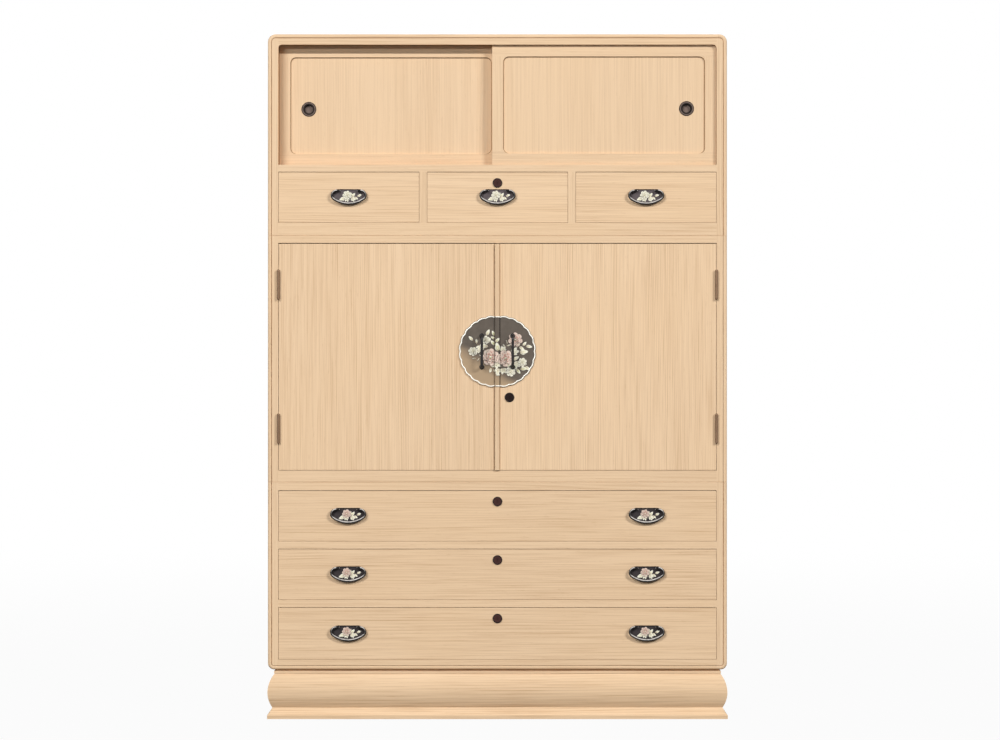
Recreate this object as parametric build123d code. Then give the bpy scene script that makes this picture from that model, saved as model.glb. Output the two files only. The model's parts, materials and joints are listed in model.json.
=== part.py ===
from build123d import *

import math
import os

# A three-tier kimono chest of paulownia: a plinth, a lower case with three long drawers,
# a middle case with two doors over kimono trays, and an upper case with three small
# drawers under two sliding doors. Millimetres, front towards -Y, floor at Z = 0.

# ---------------------------------------------------------------- overall sizes
chest_width = 1181.0
chest_depth = 450.0
plinth_height = 126.0
lower_height = 482.0
middle_height = 634.0
upper_height = 518.0

# ---------------------------------------------------------------- case boards
side_board = 27.0
back_board = 8.0
lower_bottom_board = 26.0
lower_top_board = 21.0
middle_bottom_board = 30.0
middle_top_board = 19.0
upper_bottom_board = 33.0
upper_top_board = 27.0
shelf_board = 18.0
divider_board = 19.5
rail_height = 19.0
rail_depth = 40.0
dust_board = 7.0

bead_radius = 5.4
bead_width = 9.4
bead_quirk = 1.2
bead_quirk_depth = 2.6
bead_inner_round = 2.2
bead_step = 0.5
top_corner_radius = 20.0
bottom_corner_radius = 16.0
seam_height = 0.9
seam_depth = 1.1

# How far a cutting shape runs on past the piece that it cuts, and how near to an outline
# an edge is to count as lying on it.
cut_margin = 1.0
edge_touch = 0.01

# ---------------------------------------------------------------- plinth moulding
plinth_board = 45.0
flange_stand_out = 1.0
plinth_front_step = 9.0
flange_edge = 9.5
flange_hollow = 1.0
waist_height = 28.5
waist_inset = 11.5
shoulder_inset = 17.2
plinth_bead = 6.0
plinth_bead_inset = 15.5
plinth_neck = 4.5
plinth_neck_inset = 19.0
plinth_back_board = 20.0
plinth_back_clear = 6.0

# ---------------------------------------------------------------- drawers
lower_drawer_count = 3
lowest_bay_extra = 3.0
upper_drawer_count = 3
upper_bay_height = 131.0
front_board = 20.0
drawer_side = 9.0
drawer_back = 9.0
drawer_bottom = 6.0
drawer_bottom_raise = 4.0
drawer_back_inset = 6.0
drawer_bottom_overrun = 2.0
drawer_rear_gap = 12.0
front_gap_top = 1.5
front_gap_side = 0.7
front_gap_bottom = 0.4
box_gap_side = 1.6
box_gap_bottom = 0.4
box_drop = 3.0
edge_ease = 0.6

# ---------------------------------------------------------------- sliding doors
slider_thickness = 17.0
slider_setback = 8.0
slider_spacing = 3.5
slider_overlap = 27.5
slider_end_gap = 0.5
slider_rail = 29.6
slider_stile = 28.5
slider_corner_radius = 15.0
panel_setback = 4.0
panel_thickness = 6.0
panel_rebate = 8.0
track_clearance = 0.5
top_track_depth = 9.0
bottom_track_depth = 2.5
slider_lift_gap = 0.4
opening_corner_radius = 9.5
opening_lip = 6.0

cup_radius = 19.0
cup_bowl_radius = 12.0
cup_body_radius = 16.0
cup_proud = 1.5
cup_depth = 7.5
cup_floor = 1.0
cup_inset = 76.0
cup_rise = 145.7
cup_edge_round = 0.9

# ---------------------------------------------------------------- hinged doors
door_gap_top = 2.2
door_gap_bottom = 0.8
hinge_gap = 1.0
batten_width = 13.0
batten_proud = 5.0
batten_edge_round = 1.2
batten_fall = 4.4
meeting_gap = 1.0

hinge_length = 71.5
hinge_offset = 185.0
hinge_barrel_radius = 3.7
hinge_pin_radius = 1.8
hinge_running_fit = 0.05
hinge_leaf = 1.1
hinge_leaf_width = 18.0
hinge_barrel_clear = 0.2
hinge_knuckles = 5
hinge_knuckle_gap = 0.2
hinge_tip_length = 3.0
hinge_tip_round = 2.6

# ---------------------------------------------------------------- door furniture
plate_radius = 92.5
plate_lobes = 12
plate_lobe_depth = 2.2
plate_thickness = 1.5
plate_rim_width = 3.4
plate_rim_proud = 0.6
plate_height = 306.0
plate_batten_gap = 0.3
strip_hem = 2.6

door_pull_inset = 32.5
door_pull_length = 80.0
door_pull_bar = 7.0
door_pull_reach = 26.0
door_pull_bend = 11.0
door_pull_foot_radius = 6.5
door_pull_foot = 3.0

door_lock_inset = 24.5
door_lock_height = 188.0

# ---------------------------------------------------------------- drawer pulls
long_pull_inset = 180.0
pull_half_width = 42.5
pull_flat_half = 24.0
pull_top = 20.5
pull_side = 3.0
pull_turn = 10.0
pull_shoulder_bulge = 4.2
pull_bottom = 17.0
pull_plate = 1.5
pull_rim_width = 2.2
pull_rim_proud = 0.7

post_spread = 26.5
post_drop = 4.0
post_radius = 3.75
post_reach = 9.0
post_head_round = 2.4
bail_stand_off = 5.5
bail_pin_radius = 1.5
bail_running_fit = 0.08
bail_thickness = 4.6
bail_width = 6.2
bail_lift = 0.3
bail_overhang = 0.8
bail_turn = 10.0
bail_end_clear = 0.35
bail_pin_overrun = 1.2

# ---------------------------------------------------------------- locks
lock_drop = 28.7
lock_radius = 12.25
lock_flange = 2.5
lock_flange_round = 1.2
lock_barrel_radius = 9.5
plug_head_radius = 7.5
plug_head = 3.0
plug_head_recess = 0.3
plug_shaft_radius = 5.0
plug_running_fit = 0.06
plug_seat_gap = 0.1
key_slot_length = 8.0
key_slot_width = 1.4
key_slot_depth = 1.6
cam_thickness = 2.5
cam_width = 11.0
cam_gap = 0.4
cam_entry = 7.5
cam_slot_clear = 1.5
door_cam_catch = 10.0

# ---------------------------------------------------------------- kimono trays
tray_count = 5
tray_setback = 32.0
tray_height = 78.0
tray_board = 10.0
tray_front_board = 14.0
tray_bottom = 5.0
tray_bottom_raise = 3.0
tray_side_gap = 1.5
tray_rear_gap = 8.0
tray_lift_gap = 0.3
tray_side_inset = 1.0
tray_back_drop = 3.0
tray_scoop_width = 220.0
tray_scoop_depth = 18.0
runner_width = 12.0
runner_height = 8.0

# ---------------------------------------------------------------- places worked out
half_width = chest_width / 2
inner_half = half_width - side_board
front_y = (door_pull_reach - chest_depth) / 2
back_y = front_y + chest_depth
inside_y = back_y - back_board
plinth_front_y = front_y - plinth_front_step

lower_z = plinth_height
middle_z = lower_z + lower_height
upper_z = middle_z + middle_height
top_z = upper_z + upper_height

lower_floor_z = lower_z + lower_bottom_board
lower_ceiling_z = middle_z - lower_top_board
lower_bay_height = (
    lower_ceiling_z
    - lower_floor_z
    - (lower_drawer_count - 1) * rail_height
    - lowest_bay_extra
) / lower_drawer_count
middle_floor_z = middle_z + middle_bottom_board
middle_ceiling_z = upper_z - middle_top_board
upper_floor_z = upper_z + upper_bottom_board
shelf_z = upper_floor_z + upper_bay_height
opening_z = shelf_z + shelf_board
opening_top_z = top_z - upper_top_board
upper_bay_width = (
    2 * inner_half - (upper_drawer_count - 1) * divider_board
) / upper_drawer_count

drawer_end_y = inside_y - drawer_rear_gap
front_back_y = front_y + front_board

door_bottom_z = middle_floor_z + door_gap_bottom
door_top_z = middle_ceiling_z - door_gap_top
door_middle_z = (middle_floor_z + middle_ceiling_z) / 2
right_door_edge = -batten_width / 2
left_door_edge = right_door_edge - meeting_gap
hinge_x = inner_half - hinge_gap / 2
hinge_y = front_y - hinge_barrel_radius - hinge_barrel_clear
hinge_heights = (door_middle_z - hinge_offset, door_middle_z + hinge_offset)
plate_z = middle_floor_z + plate_height
right_plate_edge = batten_width / 2 + plate_batten_gap
door_lock_x = batten_width / 2 + door_lock_inset
door_lock_z = middle_floor_z + door_lock_height

slider_width = inner_half + slider_overlap / 2 - slider_end_gap
front_slider_y = front_y + slider_setback
rear_slider_y = front_slider_y + slider_thickness + slider_spacing
slider_bottom_z = opening_z - bottom_track_depth + slider_lift_gap
slider_top_z = opening_top_z + top_track_depth - slider_lift_gap

post_height = pull_top - post_drop
bail_drop = pull_bottom - bail_lift
bail_half_width = pull_half_width + bail_overhang

cam_reach = lock_drop + cam_entry
cam_y = front_back_y + cam_gap


# ---------------------------------------------------------------- helpers
def block(x0, x1, y0, y1, z0, z1):
    """A box between two corners."""
    size = Box(x1 - x0, y1 - y0, z1 - z0)
    return Pos((x0 + x1) / 2, (y0 + y1) / 2, (z0 + z1) / 2) * size


def rod(x, y0, y1, z, radius):
    """A round bar along Y."""
    plane = Plane((x, y0, z), x_dir=(1, 0, 0), z_dir=(0, 1, 0))
    return extrude(plane * Circle(radius), amount=y1 - y0)


def bore(x, y0, y1, z, radius):
    """A round cutter along Y that runs on past both faces."""
    return rod(x, y0 - cut_margin, y1 + cut_margin, z, radius)


def bar_along_x(x0, x1, y, z, radius):
    """A round bar along X."""
    plane = Plane((x0, y, z), x_dir=(0, 1, 0), z_dir=(1, 0, 0))
    return extrude(plane * Circle(radius), amount=x1 - x0)


def post_along_z(x, y, z0, z1, radius):
    """A round bar along Z."""
    return extrude(Pos(x, y, z0) * Circle(radius), amount=z1 - z0)


def front_face_edges(shape):
    """The edges of the face that looks furthest to the front."""
    return shape.faces().filter_by(Axis.Y).sort_by(Axis.Y)[0].edges()


def stand_up(face, x, y, z):
    """A face drawn in XY, stood upright to face the front with its origin at a point."""
    return Plane((x, y, z), x_dir=(1, 0, 0), z_dir=(0, -1, 0)) * face


def raised(face, x, y, z, amount):
    """An upright face given thickness towards the front from y."""
    return extrude(stand_up(face, x, y, z), amount=amount)


# ---------------------------------------------------------------- plinth
def plinth_section():
    """Ogee section: x is how far it stands out from the case face, y is the height."""
    shoulder_z = plinth_height - plinth_neck - plinth_bead
    bead_top_z = plinth_height - plinth_neck
    waist = (-waist_inset, waist_height)
    flange_tip = (flange_stand_out, flange_edge)
    flange_middle = (
        (flange_stand_out - waist_inset) / 2 - flange_hollow,
        (flange_edge + waist_height) / 2 - flange_hollow,
    )
    shoulder = (-shoulder_inset, shoulder_z)
    bulge = (0, (waist_height + shoulder_z) / 2)
    lower_edge = Polyline((-plinth_board, 0), (flange_stand_out, 0), flange_tip)
    upper_edge = Polyline(
        shoulder,
        (-plinth_bead_inset, shoulder_z),
        (-plinth_bead_inset, bead_top_z),
        (-plinth_neck_inset, bead_top_z),
        (-plinth_neck_inset, plinth_height),
        (-plinth_board, plinth_height),
        (-plinth_board, 0),
    )
    flange = ThreePointArc(flange_tip, flange_middle, waist)
    belly = ThreePointArc(waist, bulge, shoulder)
    return make_face(Curve() + [*lower_edge.edges(), flange, belly, *upper_edge.edges()])


def mitre_prism():
    """The ground of the front moulding, between its two 45 degree mitres."""
    out = flange_stand_out + cut_margin
    ground = Polyline(
        (-half_width - out, plinth_front_y - out),
        (half_width + out, plinth_front_y - out),
        (half_width - plinth_board, plinth_front_y + plinth_board),
        (-half_width + plinth_board, plinth_front_y + plinth_board),
        close=True,
    )
    return extrude(make_face(ground), amount=plinth_height)


def plinth():
    """The front moulding, and the frame of two ends and a back behind it."""
    section = plinth_section()
    front_plane = Plane((0, plinth_front_y, 0), x_dir=(0, -1, 0), z_dir=(-1, 0, 0))
    run = extrude(front_plane * section, amount=half_width + flange_stand_out, both=True)
    front = run & mitre_prism()
    end_plane = Plane((half_width, back_y, 0), x_dir=(1, 0, 0), z_dir=(0, -1, 0))
    end_length = back_y - plinth_front_y + flange_stand_out
    right_end = extrude(end_plane * section, amount=end_length)
    right_end -= mitre_prism()
    left_end = mirror(right_end, about=Plane.YZ)
    inner = half_width - plinth_board
    back = block(
        -inner,
        inner,
        back_y - plinth_back_clear - plinth_back_board,
        back_y - plinth_back_clear,
        0,
        plinth_height,
    )
    return {"plinth_front": [front], "plinth_frame": [right_end, left_end, back]}


# ---------------------------------------------------------------- cases
def case_outline(z0, z1, margin, top_radius, bottom_radius):
    """Front view of a case, drawn in by a margin on its rounded sides."""
    low = z0 + (margin if bottom_radius else 0)
    high = z1 - (margin if top_radius else 0)
    width = chest_width - 2 * margin
    face = Pos(0, (low + high) / 2) * Rectangle(width, high - low)
    corners = face.vertices().sort_by(Axis.Y)
    if top_radius:
        face = fillet(corners[2:], top_radius - margin)
    if bottom_radius:
        face = fillet(corners[:2], bottom_radius - margin)
    return face


def case_block(z0, z1, top_radius=0, bottom_radius=0, inset=0):
    """A whole case as one moulded block, optionally shrunk by an inset."""
    body_y = front_y + bead_step + inset
    outline = case_outline(z0, z1, inset, top_radius, bottom_radius)
    body = extrude(stand_up(outline, 0, body_y, 0), amount=body_y - back_y)
    edges = front_face_edges(body)
    if not top_radius:
        edges = [e for e in edges if e.center().Z < z1 - bead_step]
    if not bottom_radius:
        edges = [e for e in edges if e.center().Z > z0 + bead_step]
    body = fillet(edges, bead_radius - inset)
    hollow = case_outline(z0, z1, bead_width, top_radius, bottom_radius)
    floor_y = body_y + bead_quirk_depth
    body -= raised(hollow, 0, floor_y, 0, bead_quirk_depth)
    brink = stand_up(hollow, 0, body_y, 0)
    edges = [e for e in front_face_edges(body) if brink.distance_to(e @ 0.5) < edge_touch]
    body = fillet(edges, bead_inner_round)
    fascia = case_outline(z0, z1, bead_width + bead_quirk, top_radius, bottom_radius)
    return body + raised(fascia, 0, floor_y, 0, bead_quirk_depth + bead_step)


def with_seam(body, z0):
    """A case block with the fine groove around its foot."""
    foot = case_block(z0, z0 + bead_width)
    core = case_block(z0, z0 + bead_width, inset=seam_depth)
    band = block(-half_width, half_width, front_y, back_y, z0, z0 + seam_height)
    return body - ((foot & band) - core)


def case_boards(body, z0, floor_z, ceiling_z, z1):
    """The sides, top, bottom and back of a case, cut from its block."""
    far = half_width + cut_margin
    near = front_y - cut_margin
    right = body & block(inner_half, far, near, back_y, z0, z1)
    left = body & block(-far, -inner_half, near, back_y, z0, z1)
    top = body & block(-inner_half, inner_half, near, back_y, ceiling_z, z1)
    bottom = body & block(-inner_half, inner_half, near, back_y, z0, floor_z)
    back = block(-inner_half, inner_half, inside_y, back_y, floor_z, ceiling_z)
    return [left, right], top, bottom, back


def cam_mortise(z):
    """The slot above a drawer that its lock's cam turns up into."""
    tip = math.hypot(cam_reach, cam_width / 2)
    swing = math.sqrt(tip**2 - lock_drop**2)
    return block(
        -cam_width / 2 - cam_slot_clear,
        swing + cam_slot_clear,
        cam_y - cam_gap,
        cam_y + cam_thickness + cam_gap,
        z,
        z + cam_entry + cam_slot_clear,
    )


def lower_bay(index):
    """Left, right, floor and ceiling of a long drawer's bay, the top one first."""
    ceiling = lower_ceiling_z - index * (lower_bay_height + rail_height)
    is_lowest = index == lower_drawer_count - 1
    floor = lower_floor_z if is_lowest else ceiling - lower_bay_height
    return -inner_half, inner_half, floor, ceiling


def upper_bay(index):
    """Left, right, floor and ceiling of a small drawer's bay, the left one first."""
    x0 = -inner_half + index * (upper_bay_width + divider_board)
    return x0, x0 + upper_bay_width, upper_floor_z, shelf_z


def lower_case():
    body = case_block(lower_z, middle_z, bottom_radius=bottom_corner_radius)
    sides, top, bottom, back = case_boards(
        body, lower_z, lower_floor_z, lower_ceiling_z, middle_z
    )
    top -= cam_mortise(lower_ceiling_z)
    rails = []
    dust_boards = []
    for index in range(1, lower_drawer_count):
        z0 = lower_bay(index)[3]
        z1 = z0 + rail_height
        rail = block(-inner_half, inner_half, front_y, front_y + rail_depth, z0, z1)
        rails.append(rail - cam_mortise(z0))
        shelf = block(
            -inner_half, inner_half, front_y + rail_depth, inside_y, z1 - dust_board, z1
        )
        dust_boards.append(shelf)
    return {
        "lower_case_sides": sides,
        "lower_case_boards": [top, bottom],
        "lower_case_back": [back],
        "lower_drawer_rails": rails,
        "lower_dust_boards": dust_boards,
    }


def middle_case():
    body = with_seam(case_block(middle_z, upper_z), middle_z)
    sides, top, bottom, back = case_boards(
        body, middle_z, middle_floor_z, middle_ceiling_z, upper_z
    )
    left, right = sides
    for z in hinge_heights:
        right -= hinge_leaf_block(z, "case")
        left -= mirror(hinge_leaf_block(z, "case"), about=Plane.YZ)
    return {
        "middle_case_sides": [left, right],
        "middle_case_boards": [top, bottom],
        "middle_case_back": [back],
    }


def slider_tracks(z0, z1):
    """The two grooves that the sliding doors run in."""
    return [
        block(
            -inner_half,
            inner_half,
            y - track_clearance,
            y + slider_thickness + track_clearance,
            z0,
            z1,
        )
        for y in (front_slider_y, rear_slider_y)
    ]


def opening_corner(side):
    """The concave piece that rounds an upper corner of the sliding doors' opening."""
    r = opening_corner_radius
    x = side * inner_half
    inward = x - side * r
    piece = block(
        min(x, inward),
        max(x, inward),
        front_y,
        front_y + opening_lip,
        opening_top_z - r,
        opening_top_z,
    )
    back = front_y + opening_lip
    return piece - bore(inward, front_y, back, opening_top_z - r, r)


def upper_case():
    body = with_seam(case_block(upper_z, top_z, top_radius=top_corner_radius), upper_z)
    sides, top, bottom, back = case_boards(
        body, upper_z, upper_floor_z, opening_top_z, top_z
    )
    for groove in slider_tracks(opening_top_z, opening_top_z + top_track_depth):
        top -= groove
    shelf = block(-inner_half, inner_half, front_y, inside_y, shelf_z, opening_z)
    for groove in slider_tracks(opening_z - bottom_track_depth, opening_z):
        shelf -= groove
    shelf -= cam_mortise(shelf_z)
    dividers = []
    for index in range(1, upper_drawer_count):
        x1 = upper_bay(index)[0]
        x0 = x1 - divider_board
        dividers.append(block(x0, x1, front_y, inside_y, upper_floor_z, shelf_z))
    return {
        "upper_case_sides": sides,
        "upper_case_boards": [top, bottom, opening_corner(1), opening_corner(-1)],
        "upper_case_back": [back],
        "slider_shelf": [shelf],
        "upper_drawer_dividers": dividers,
    }


# ---------------------------------------------------------------- kimono trays
def tray(z):
    """A shallow tray: front with a hand scoop, two sides, a back and a bottom."""
    x1 = inner_half - tray_side_gap
    y0 = front_y + tray_setback
    y1 = inside_y - tray_rear_gap
    z1 = z + tray_height
    front_back = y0 + tray_front_board
    front = block(-x1, x1, y0, front_back, z, z1)
    half = tray_scoop_width / 2
    scoop_radius = (half**2 + tray_scoop_depth**2) / (2 * tray_scoop_depth)
    scoop_z = z1 - tray_scoop_depth + scoop_radius
    front -= bore(0, y0, front_back, scoop_z, scoop_radius)
    inner = x1 - tray_side_inset - tray_board
    low = z + tray_side_inset
    right = block(inner, inner + tray_board, front_back, y1, low, z1 - tray_side_inset)
    floor_z = z + tray_bottom_raise
    bottom = block(
        -inner, inner, front_back, y1 - tray_back_drop, floor_z, floor_z + tray_bottom
    )
    back = block(
        -inner,
        inner,
        y1 - 2 * tray_back_drop - tray_board,
        y1 - 2 * tray_back_drop,
        floor_z + tray_bottom,
        z1 - tray_back_drop,
    )
    return [front, right, mirror(right, about=Plane.YZ), bottom, back]


def tray_set():
    """The trays, on the case floor and on pairs of runners up the sides."""
    pitch = (middle_ceiling_z - middle_floor_z) / tray_count
    trays = []
    runners = []
    y0 = front_y + tray_setback
    for index in range(tray_count):
        seat_z = middle_floor_z + index * pitch
        trays += tray(seat_z + tray_lift_gap)
        if index:
            low = seat_z - runner_height
            right = block(inner_half - runner_width, inner_half, y0, inside_y, low, seat_z)
            runners += [right, mirror(right, about=Plane.YZ)]
    return {"tray_runners": runners, "kimono_trays": trays}


# ---------------------------------------------------------------- sliding doors
def slider(x0, y):
    """One sliding door standing at x0: its frame, its panel and its finger cup."""
    x1 = x0 + slider_width
    y1 = y + slider_thickness
    frame = block(x0, x1, y, y1, slider_bottom_z, slider_top_z)
    frame = chamfer(front_face_edges(frame), edge_ease)
    window_x = (x0 + x1) / 2
    window_z = (opening_z + opening_top_z) / 2
    window_width = slider_width - 2 * slider_stile
    window_height = opening_top_z - opening_z - 2 * slider_rail
    window = RectangleRounded(window_width, window_height, slider_corner_radius)
    through = slider_thickness + 2 * cut_margin
    frame -= raised(window, window_x, y1 + cut_margin, window_z, through)
    panel_face = Rectangle(window_width + 2 * panel_rebate, window_height + 2 * panel_rebate)
    panel_y = y + panel_setback
    frame -= raised(panel_face, window_x, y1, window_z, y1 - panel_y)
    panel = raised(panel_face, window_x, panel_y + panel_thickness, window_z, panel_thickness)
    side = -1 if window_x < 0 else 1
    cup_x = window_x + side * (slider_width / 2 - cup_inset)
    cup_z = opening_z + cup_rise
    panel -= bore(cup_x, panel_y, panel_y + panel_thickness, cup_z, cup_body_radius)
    lip_y = panel_y - cup_proud
    flange = rod(cup_x, lip_y, panel_y, cup_z, cup_radius)
    flange = fillet(front_face_edges(flange), cup_edge_round)
    cup = flange + rod(cup_x, panel_y, lip_y + cup_depth + cup_floor, cup_z, cup_body_radius)
    cup -= rod(cup_x, lip_y, lip_y + cup_depth, cup_z, cup_bowl_radius)
    return frame, panel, cup


def sliders():
    """The left door in the rear track and the right door in the front track."""
    left_x = -inner_half + slider_end_gap
    right_x = inner_half - slider_end_gap - slider_width
    nodes = {}
    for name, x0, y in (
        ("left", left_x, rear_slider_y),
        ("right", right_x, front_slider_y),
    ):
        frame, panel, cup = slider(x0, y)
        nodes[f"{name}_slider_frame"] = [frame]
        nodes[f"{name}_slider_panel"] = [panel]
        nodes[f"{name}_slider_cup"] = [cup]
    return nodes


# ---------------------------------------------------------------- locks
def lock_housing(x, z):
    """The round escutcheon with the barrel that passes through the board."""
    flange = rod(x, front_y - lock_flange, front_y, z, lock_radius)
    flange = fillet(front_face_edges(flange), lock_flange_round)
    housing = flange + rod(x, front_y, front_back_y, z, lock_barrel_radius)
    seat_y = front_y - lock_flange + plug_head_recess + plug_head + plug_seat_gap
    head_bore = plug_head_radius + plug_running_fit
    shaft_bore = plug_shaft_radius + plug_running_fit
    housing -= rod(x, front_y - lock_flange, seat_y, z, head_bore)
    return housing - rod(x, seat_y, front_back_y, z, shaft_bore)


def lock_plug(x, z, reach, towards):
    """The key plug and its cam, which points towards +X (1) or straight down (-1)."""
    face_y = front_y - lock_flange + plug_head_recess
    cam_end_y = cam_y + cam_thickness
    plug = rod(x, face_y, face_y + plug_head, z, plug_head_radius)
    plug += rod(x, face_y + plug_head, cam_end_y, z, plug_shaft_radius)
    half = cam_width / 2
    if towards > 0:
        plug += block(x - half, x + reach, cam_y, cam_end_y, z - half, z + half)
    else:
        plug += block(x - half, x + half, cam_y, cam_end_y, z - reach, z + half)
    length = key_slot_length / 2
    width = key_slot_width / 2
    slot_end_y = face_y + key_slot_depth
    return plug - block(x - width, x + width, face_y, slot_end_y, z - length, z + length)


# ---------------------------------------------------------------- drawer pulls
def boat_hull(half, side_z, keel_z, turn):
    """The lower edge of a pull from one side to the other: two tight turns and a long arc."""
    rise = side_z - keel_z
    sweep_radius = ((half - turn) ** 2 + rise**2 - turn**2) / (2 * (rise - turn))
    sweep_z = keel_z + sweep_radius
    span = math.hypot(half - turn, sweep_z - side_z)
    lean = ((half - turn) / span, (side_z - sweep_z) / span)
    join = (half - turn + turn * lean[0], side_z + turn * lean[1])
    middle = math.atan2(lean[1], lean[0]) / 2
    turning = (half - turn + turn * math.cos(middle), side_z + turn * math.sin(middle))
    return [
        ThreePointArc((half, side_z), turning, join),
        ThreePointArc(join, (0, keel_z), (-join[0], join[1])),
        ThreePointArc((-join[0], join[1]), (-turning[0], turning[1]), (-half, side_z)),
    ]


def pull_outline(shrink):
    """The boat shape of a pull's plate, drawn in by a margin."""
    side = (pull_half_width - shrink, pull_side)
    top = (pull_flat_half - shrink / 2, pull_top - shrink)
    bulge = (
        (side[0] + top[0]) / 2 + pull_shoulder_bulge,
        (side[1] + top[1]) / 2 + pull_shoulder_bulge,
    )
    left_bulge = (-bulge[0], bulge[1])
    hull = boat_hull(side[0], pull_side, shrink - pull_bottom, pull_turn - shrink)
    return make_face(
        Curve()
        + [
            Line((-top[0], top[1]), top),
            ThreePointArc(top, bulge, side),
            *hull,
            ThreePointArc((-side[0], side[1]), left_bulge, (-top[0], top[1])),
        ]
    )


def pull_plate_with_posts(x, z):
    """A pull's back plate with a raised rim and the two posts that hold its bail."""
    plate_y = front_y - pull_plate
    plate = raised(pull_outline(0), x, front_y, z, pull_plate + pull_rim_proud)
    plate -= raised(pull_outline(pull_rim_width), x, plate_y, z, pull_rim_proud)
    pivot_y = plate_y - bail_stand_off
    pivot_z = z + post_height
    for side in (-1, 1):
        post_x = x + side * post_spread
        post = rod(post_x, plate_y - post_reach, plate_y, pivot_z, post_radius)
        plate += fillet(front_face_edges(post), post_head_round)
        eye = bail_pin_radius + bail_running_fit
        far = post_radius + cut_margin
        plate -= bar_along_x(post_x - far, post_x + far, pivot_y, pivot_z, eye)
    return plate


def bail_path():
    """The bail's centre line in its front view, from the right post round to the left."""
    end_x = post_spread + post_radius + bail_end_clear
    shoulder = bail_half_width - end_x
    side_z = post_height - shoulder
    diagonal = shoulder * math.sqrt(0.5)
    crest = (end_x + diagonal, side_z + diagonal)
    return Curve() + [
        ThreePointArc((end_x, post_height), crest, (bail_half_width, side_z)),
        *boat_hull(bail_half_width, side_z, -bail_drop, bail_turn),
        ThreePointArc(
            (-bail_half_width, side_z), (-crest[0], crest[1]), (-end_x, post_height)
        ),
    ]


def bail(x, z):
    """The swinging handle: an oval bar hung on a pin at each end."""
    pivot_y = front_y - pull_plate - bail_stand_off
    pivot_z = z + post_height
    path = stand_up(bail_path(), x, pivot_y, z)
    end_x = post_spread + post_radius + bail_end_clear
    start = Plane((x + end_x, pivot_y, pivot_z), x_dir=(0, 1, 0), z_dir=(1, 0, 0))
    band = sweep(start * Ellipse(bail_thickness / 2, bail_width / 2), path=path)
    pin_in = post_spread - post_radius - bail_pin_overrun
    pin_out = end_x + bail_pin_radius
    band += bar_along_x(x + pin_in, x + pin_out, pivot_y, pivot_z, bail_pin_radius)
    band += bar_along_x(x - pin_out, x - pin_in, pivot_y, pivot_z, bail_pin_radius)
    return band


# ---------------------------------------------------------------- drawers
def drawer(bay, lock_x=None):
    """A drawer's front, sides, bottom and back; lock_x bores the front for a lock."""
    x0, x1, z0, z1 = bay
    front = block(
        x0 + front_gap_side,
        x1 - front_gap_side,
        front_y,
        front_back_y,
        z0 + front_gap_bottom,
        z1 - front_gap_top,
    )
    front = chamfer(front_face_edges(front), edge_ease)
    if lock_x is not None:
        front -= bore(lock_x, front_y, front_back_y, z1 - lock_drop, lock_barrel_radius)
    left = x0 + box_gap_side
    right = x1 - box_gap_side
    side_low = z0 + box_gap_bottom
    side_high = z1 - front_gap_top - box_drop
    sides = [
        block(a, a + drawer_side, front_back_y, drawer_end_y, side_low, side_high)
        for a in (left, right - drawer_side)
    ]
    inner_left = left + drawer_side
    inner_right = right - drawer_side
    floor_z = z0 + drawer_bottom_raise
    back_end = drawer_end_y - drawer_back_inset
    bottom = block(
        inner_left,
        inner_right,
        front_back_y,
        back_end + drawer_bottom_overrun,
        floor_z,
        floor_z + drawer_bottom,
    )
    back = block(
        inner_left,
        inner_right,
        back_end - drawer_back,
        back_end,
        floor_z + drawer_bottom,
        side_high - box_drop,
    )
    return [front, *sides, bottom, back]


def drawer_nodes(name, bay, pull_xs, lock_x=None):
    """A drawer, its fittings, its bails and, where it locks, its plug."""
    x0, x1, z0, z1 = bay
    pull_z = (z0 + z1) / 2
    fittings = [pull_plate_with_posts(x, pull_z) for x in pull_xs]
    nodes = {f"{name}_drawer": drawer(bay, lock_x)}
    if lock_x is not None:
        lock_z = z1 - lock_drop
        fittings.append(lock_housing(lock_x, lock_z))
        nodes[f"{name}_lock_plug"] = [lock_plug(lock_x, lock_z, cam_reach, 1)]
    nodes[f"{name}_fittings"] = fittings
    if len(pull_xs) == 1:
        nodes[f"{name}_bail"] = [bail(pull_xs[0], pull_z)]
    else:
        for side, x in zip(("left", "right"), pull_xs):
            nodes[f"{name}_{side}_bail"] = [bail(x, pull_z)]
    return nodes


def all_drawers():
    nodes = {}
    middle = (upper_drawer_count - 1) / 2
    for index, name in enumerate(("upper_left", "upper_centre", "upper_right")):
        bay = upper_bay(index)
        lock_x = 0 if index == middle else None
        nodes |= drawer_nodes(name, bay, [(bay[0] + bay[1]) / 2], lock_x)
    pull_x = inner_half - long_pull_inset
    for index, name in enumerate(("lower_top", "lower_middle", "lower_bottom")):
        nodes |= drawer_nodes(name, lower_bay(index), [-pull_x, pull_x], 0)
    return nodes


# ---------------------------------------------------------------- hinged doors
def knuckle_spans(z, own):
    """The heights of a leaf's own knuckles: the odd ones on the case, even on the door."""
    step = hinge_length / hinge_knuckles
    foot = z - hinge_length / 2
    return [
        (foot + k * step + hinge_knuckle_gap / 2, foot + (k + 1) * step - hinge_knuckle_gap / 2)
        for k in range(hinge_knuckles)
        if (k % 2 == 0) == (own == "case")
    ]


def hinge_leaf_span(own):
    """From where to where across X a right-hand hinge's leaf is let into the wood."""
    if own == "case":
        return inner_half, inner_half + hinge_leaf
    return inner_half - hinge_gap - hinge_leaf, inner_half - hinge_gap


def hinge_leaf_block(z, own):
    """The flat of a right-hand hinge leaf, and the housing that the wood has for it."""
    x0, x1 = hinge_leaf_span(own)
    half = hinge_length / 2
    return block(x0, x1, front_y, front_y + hinge_leaf_width, z - half, z + half)


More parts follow.
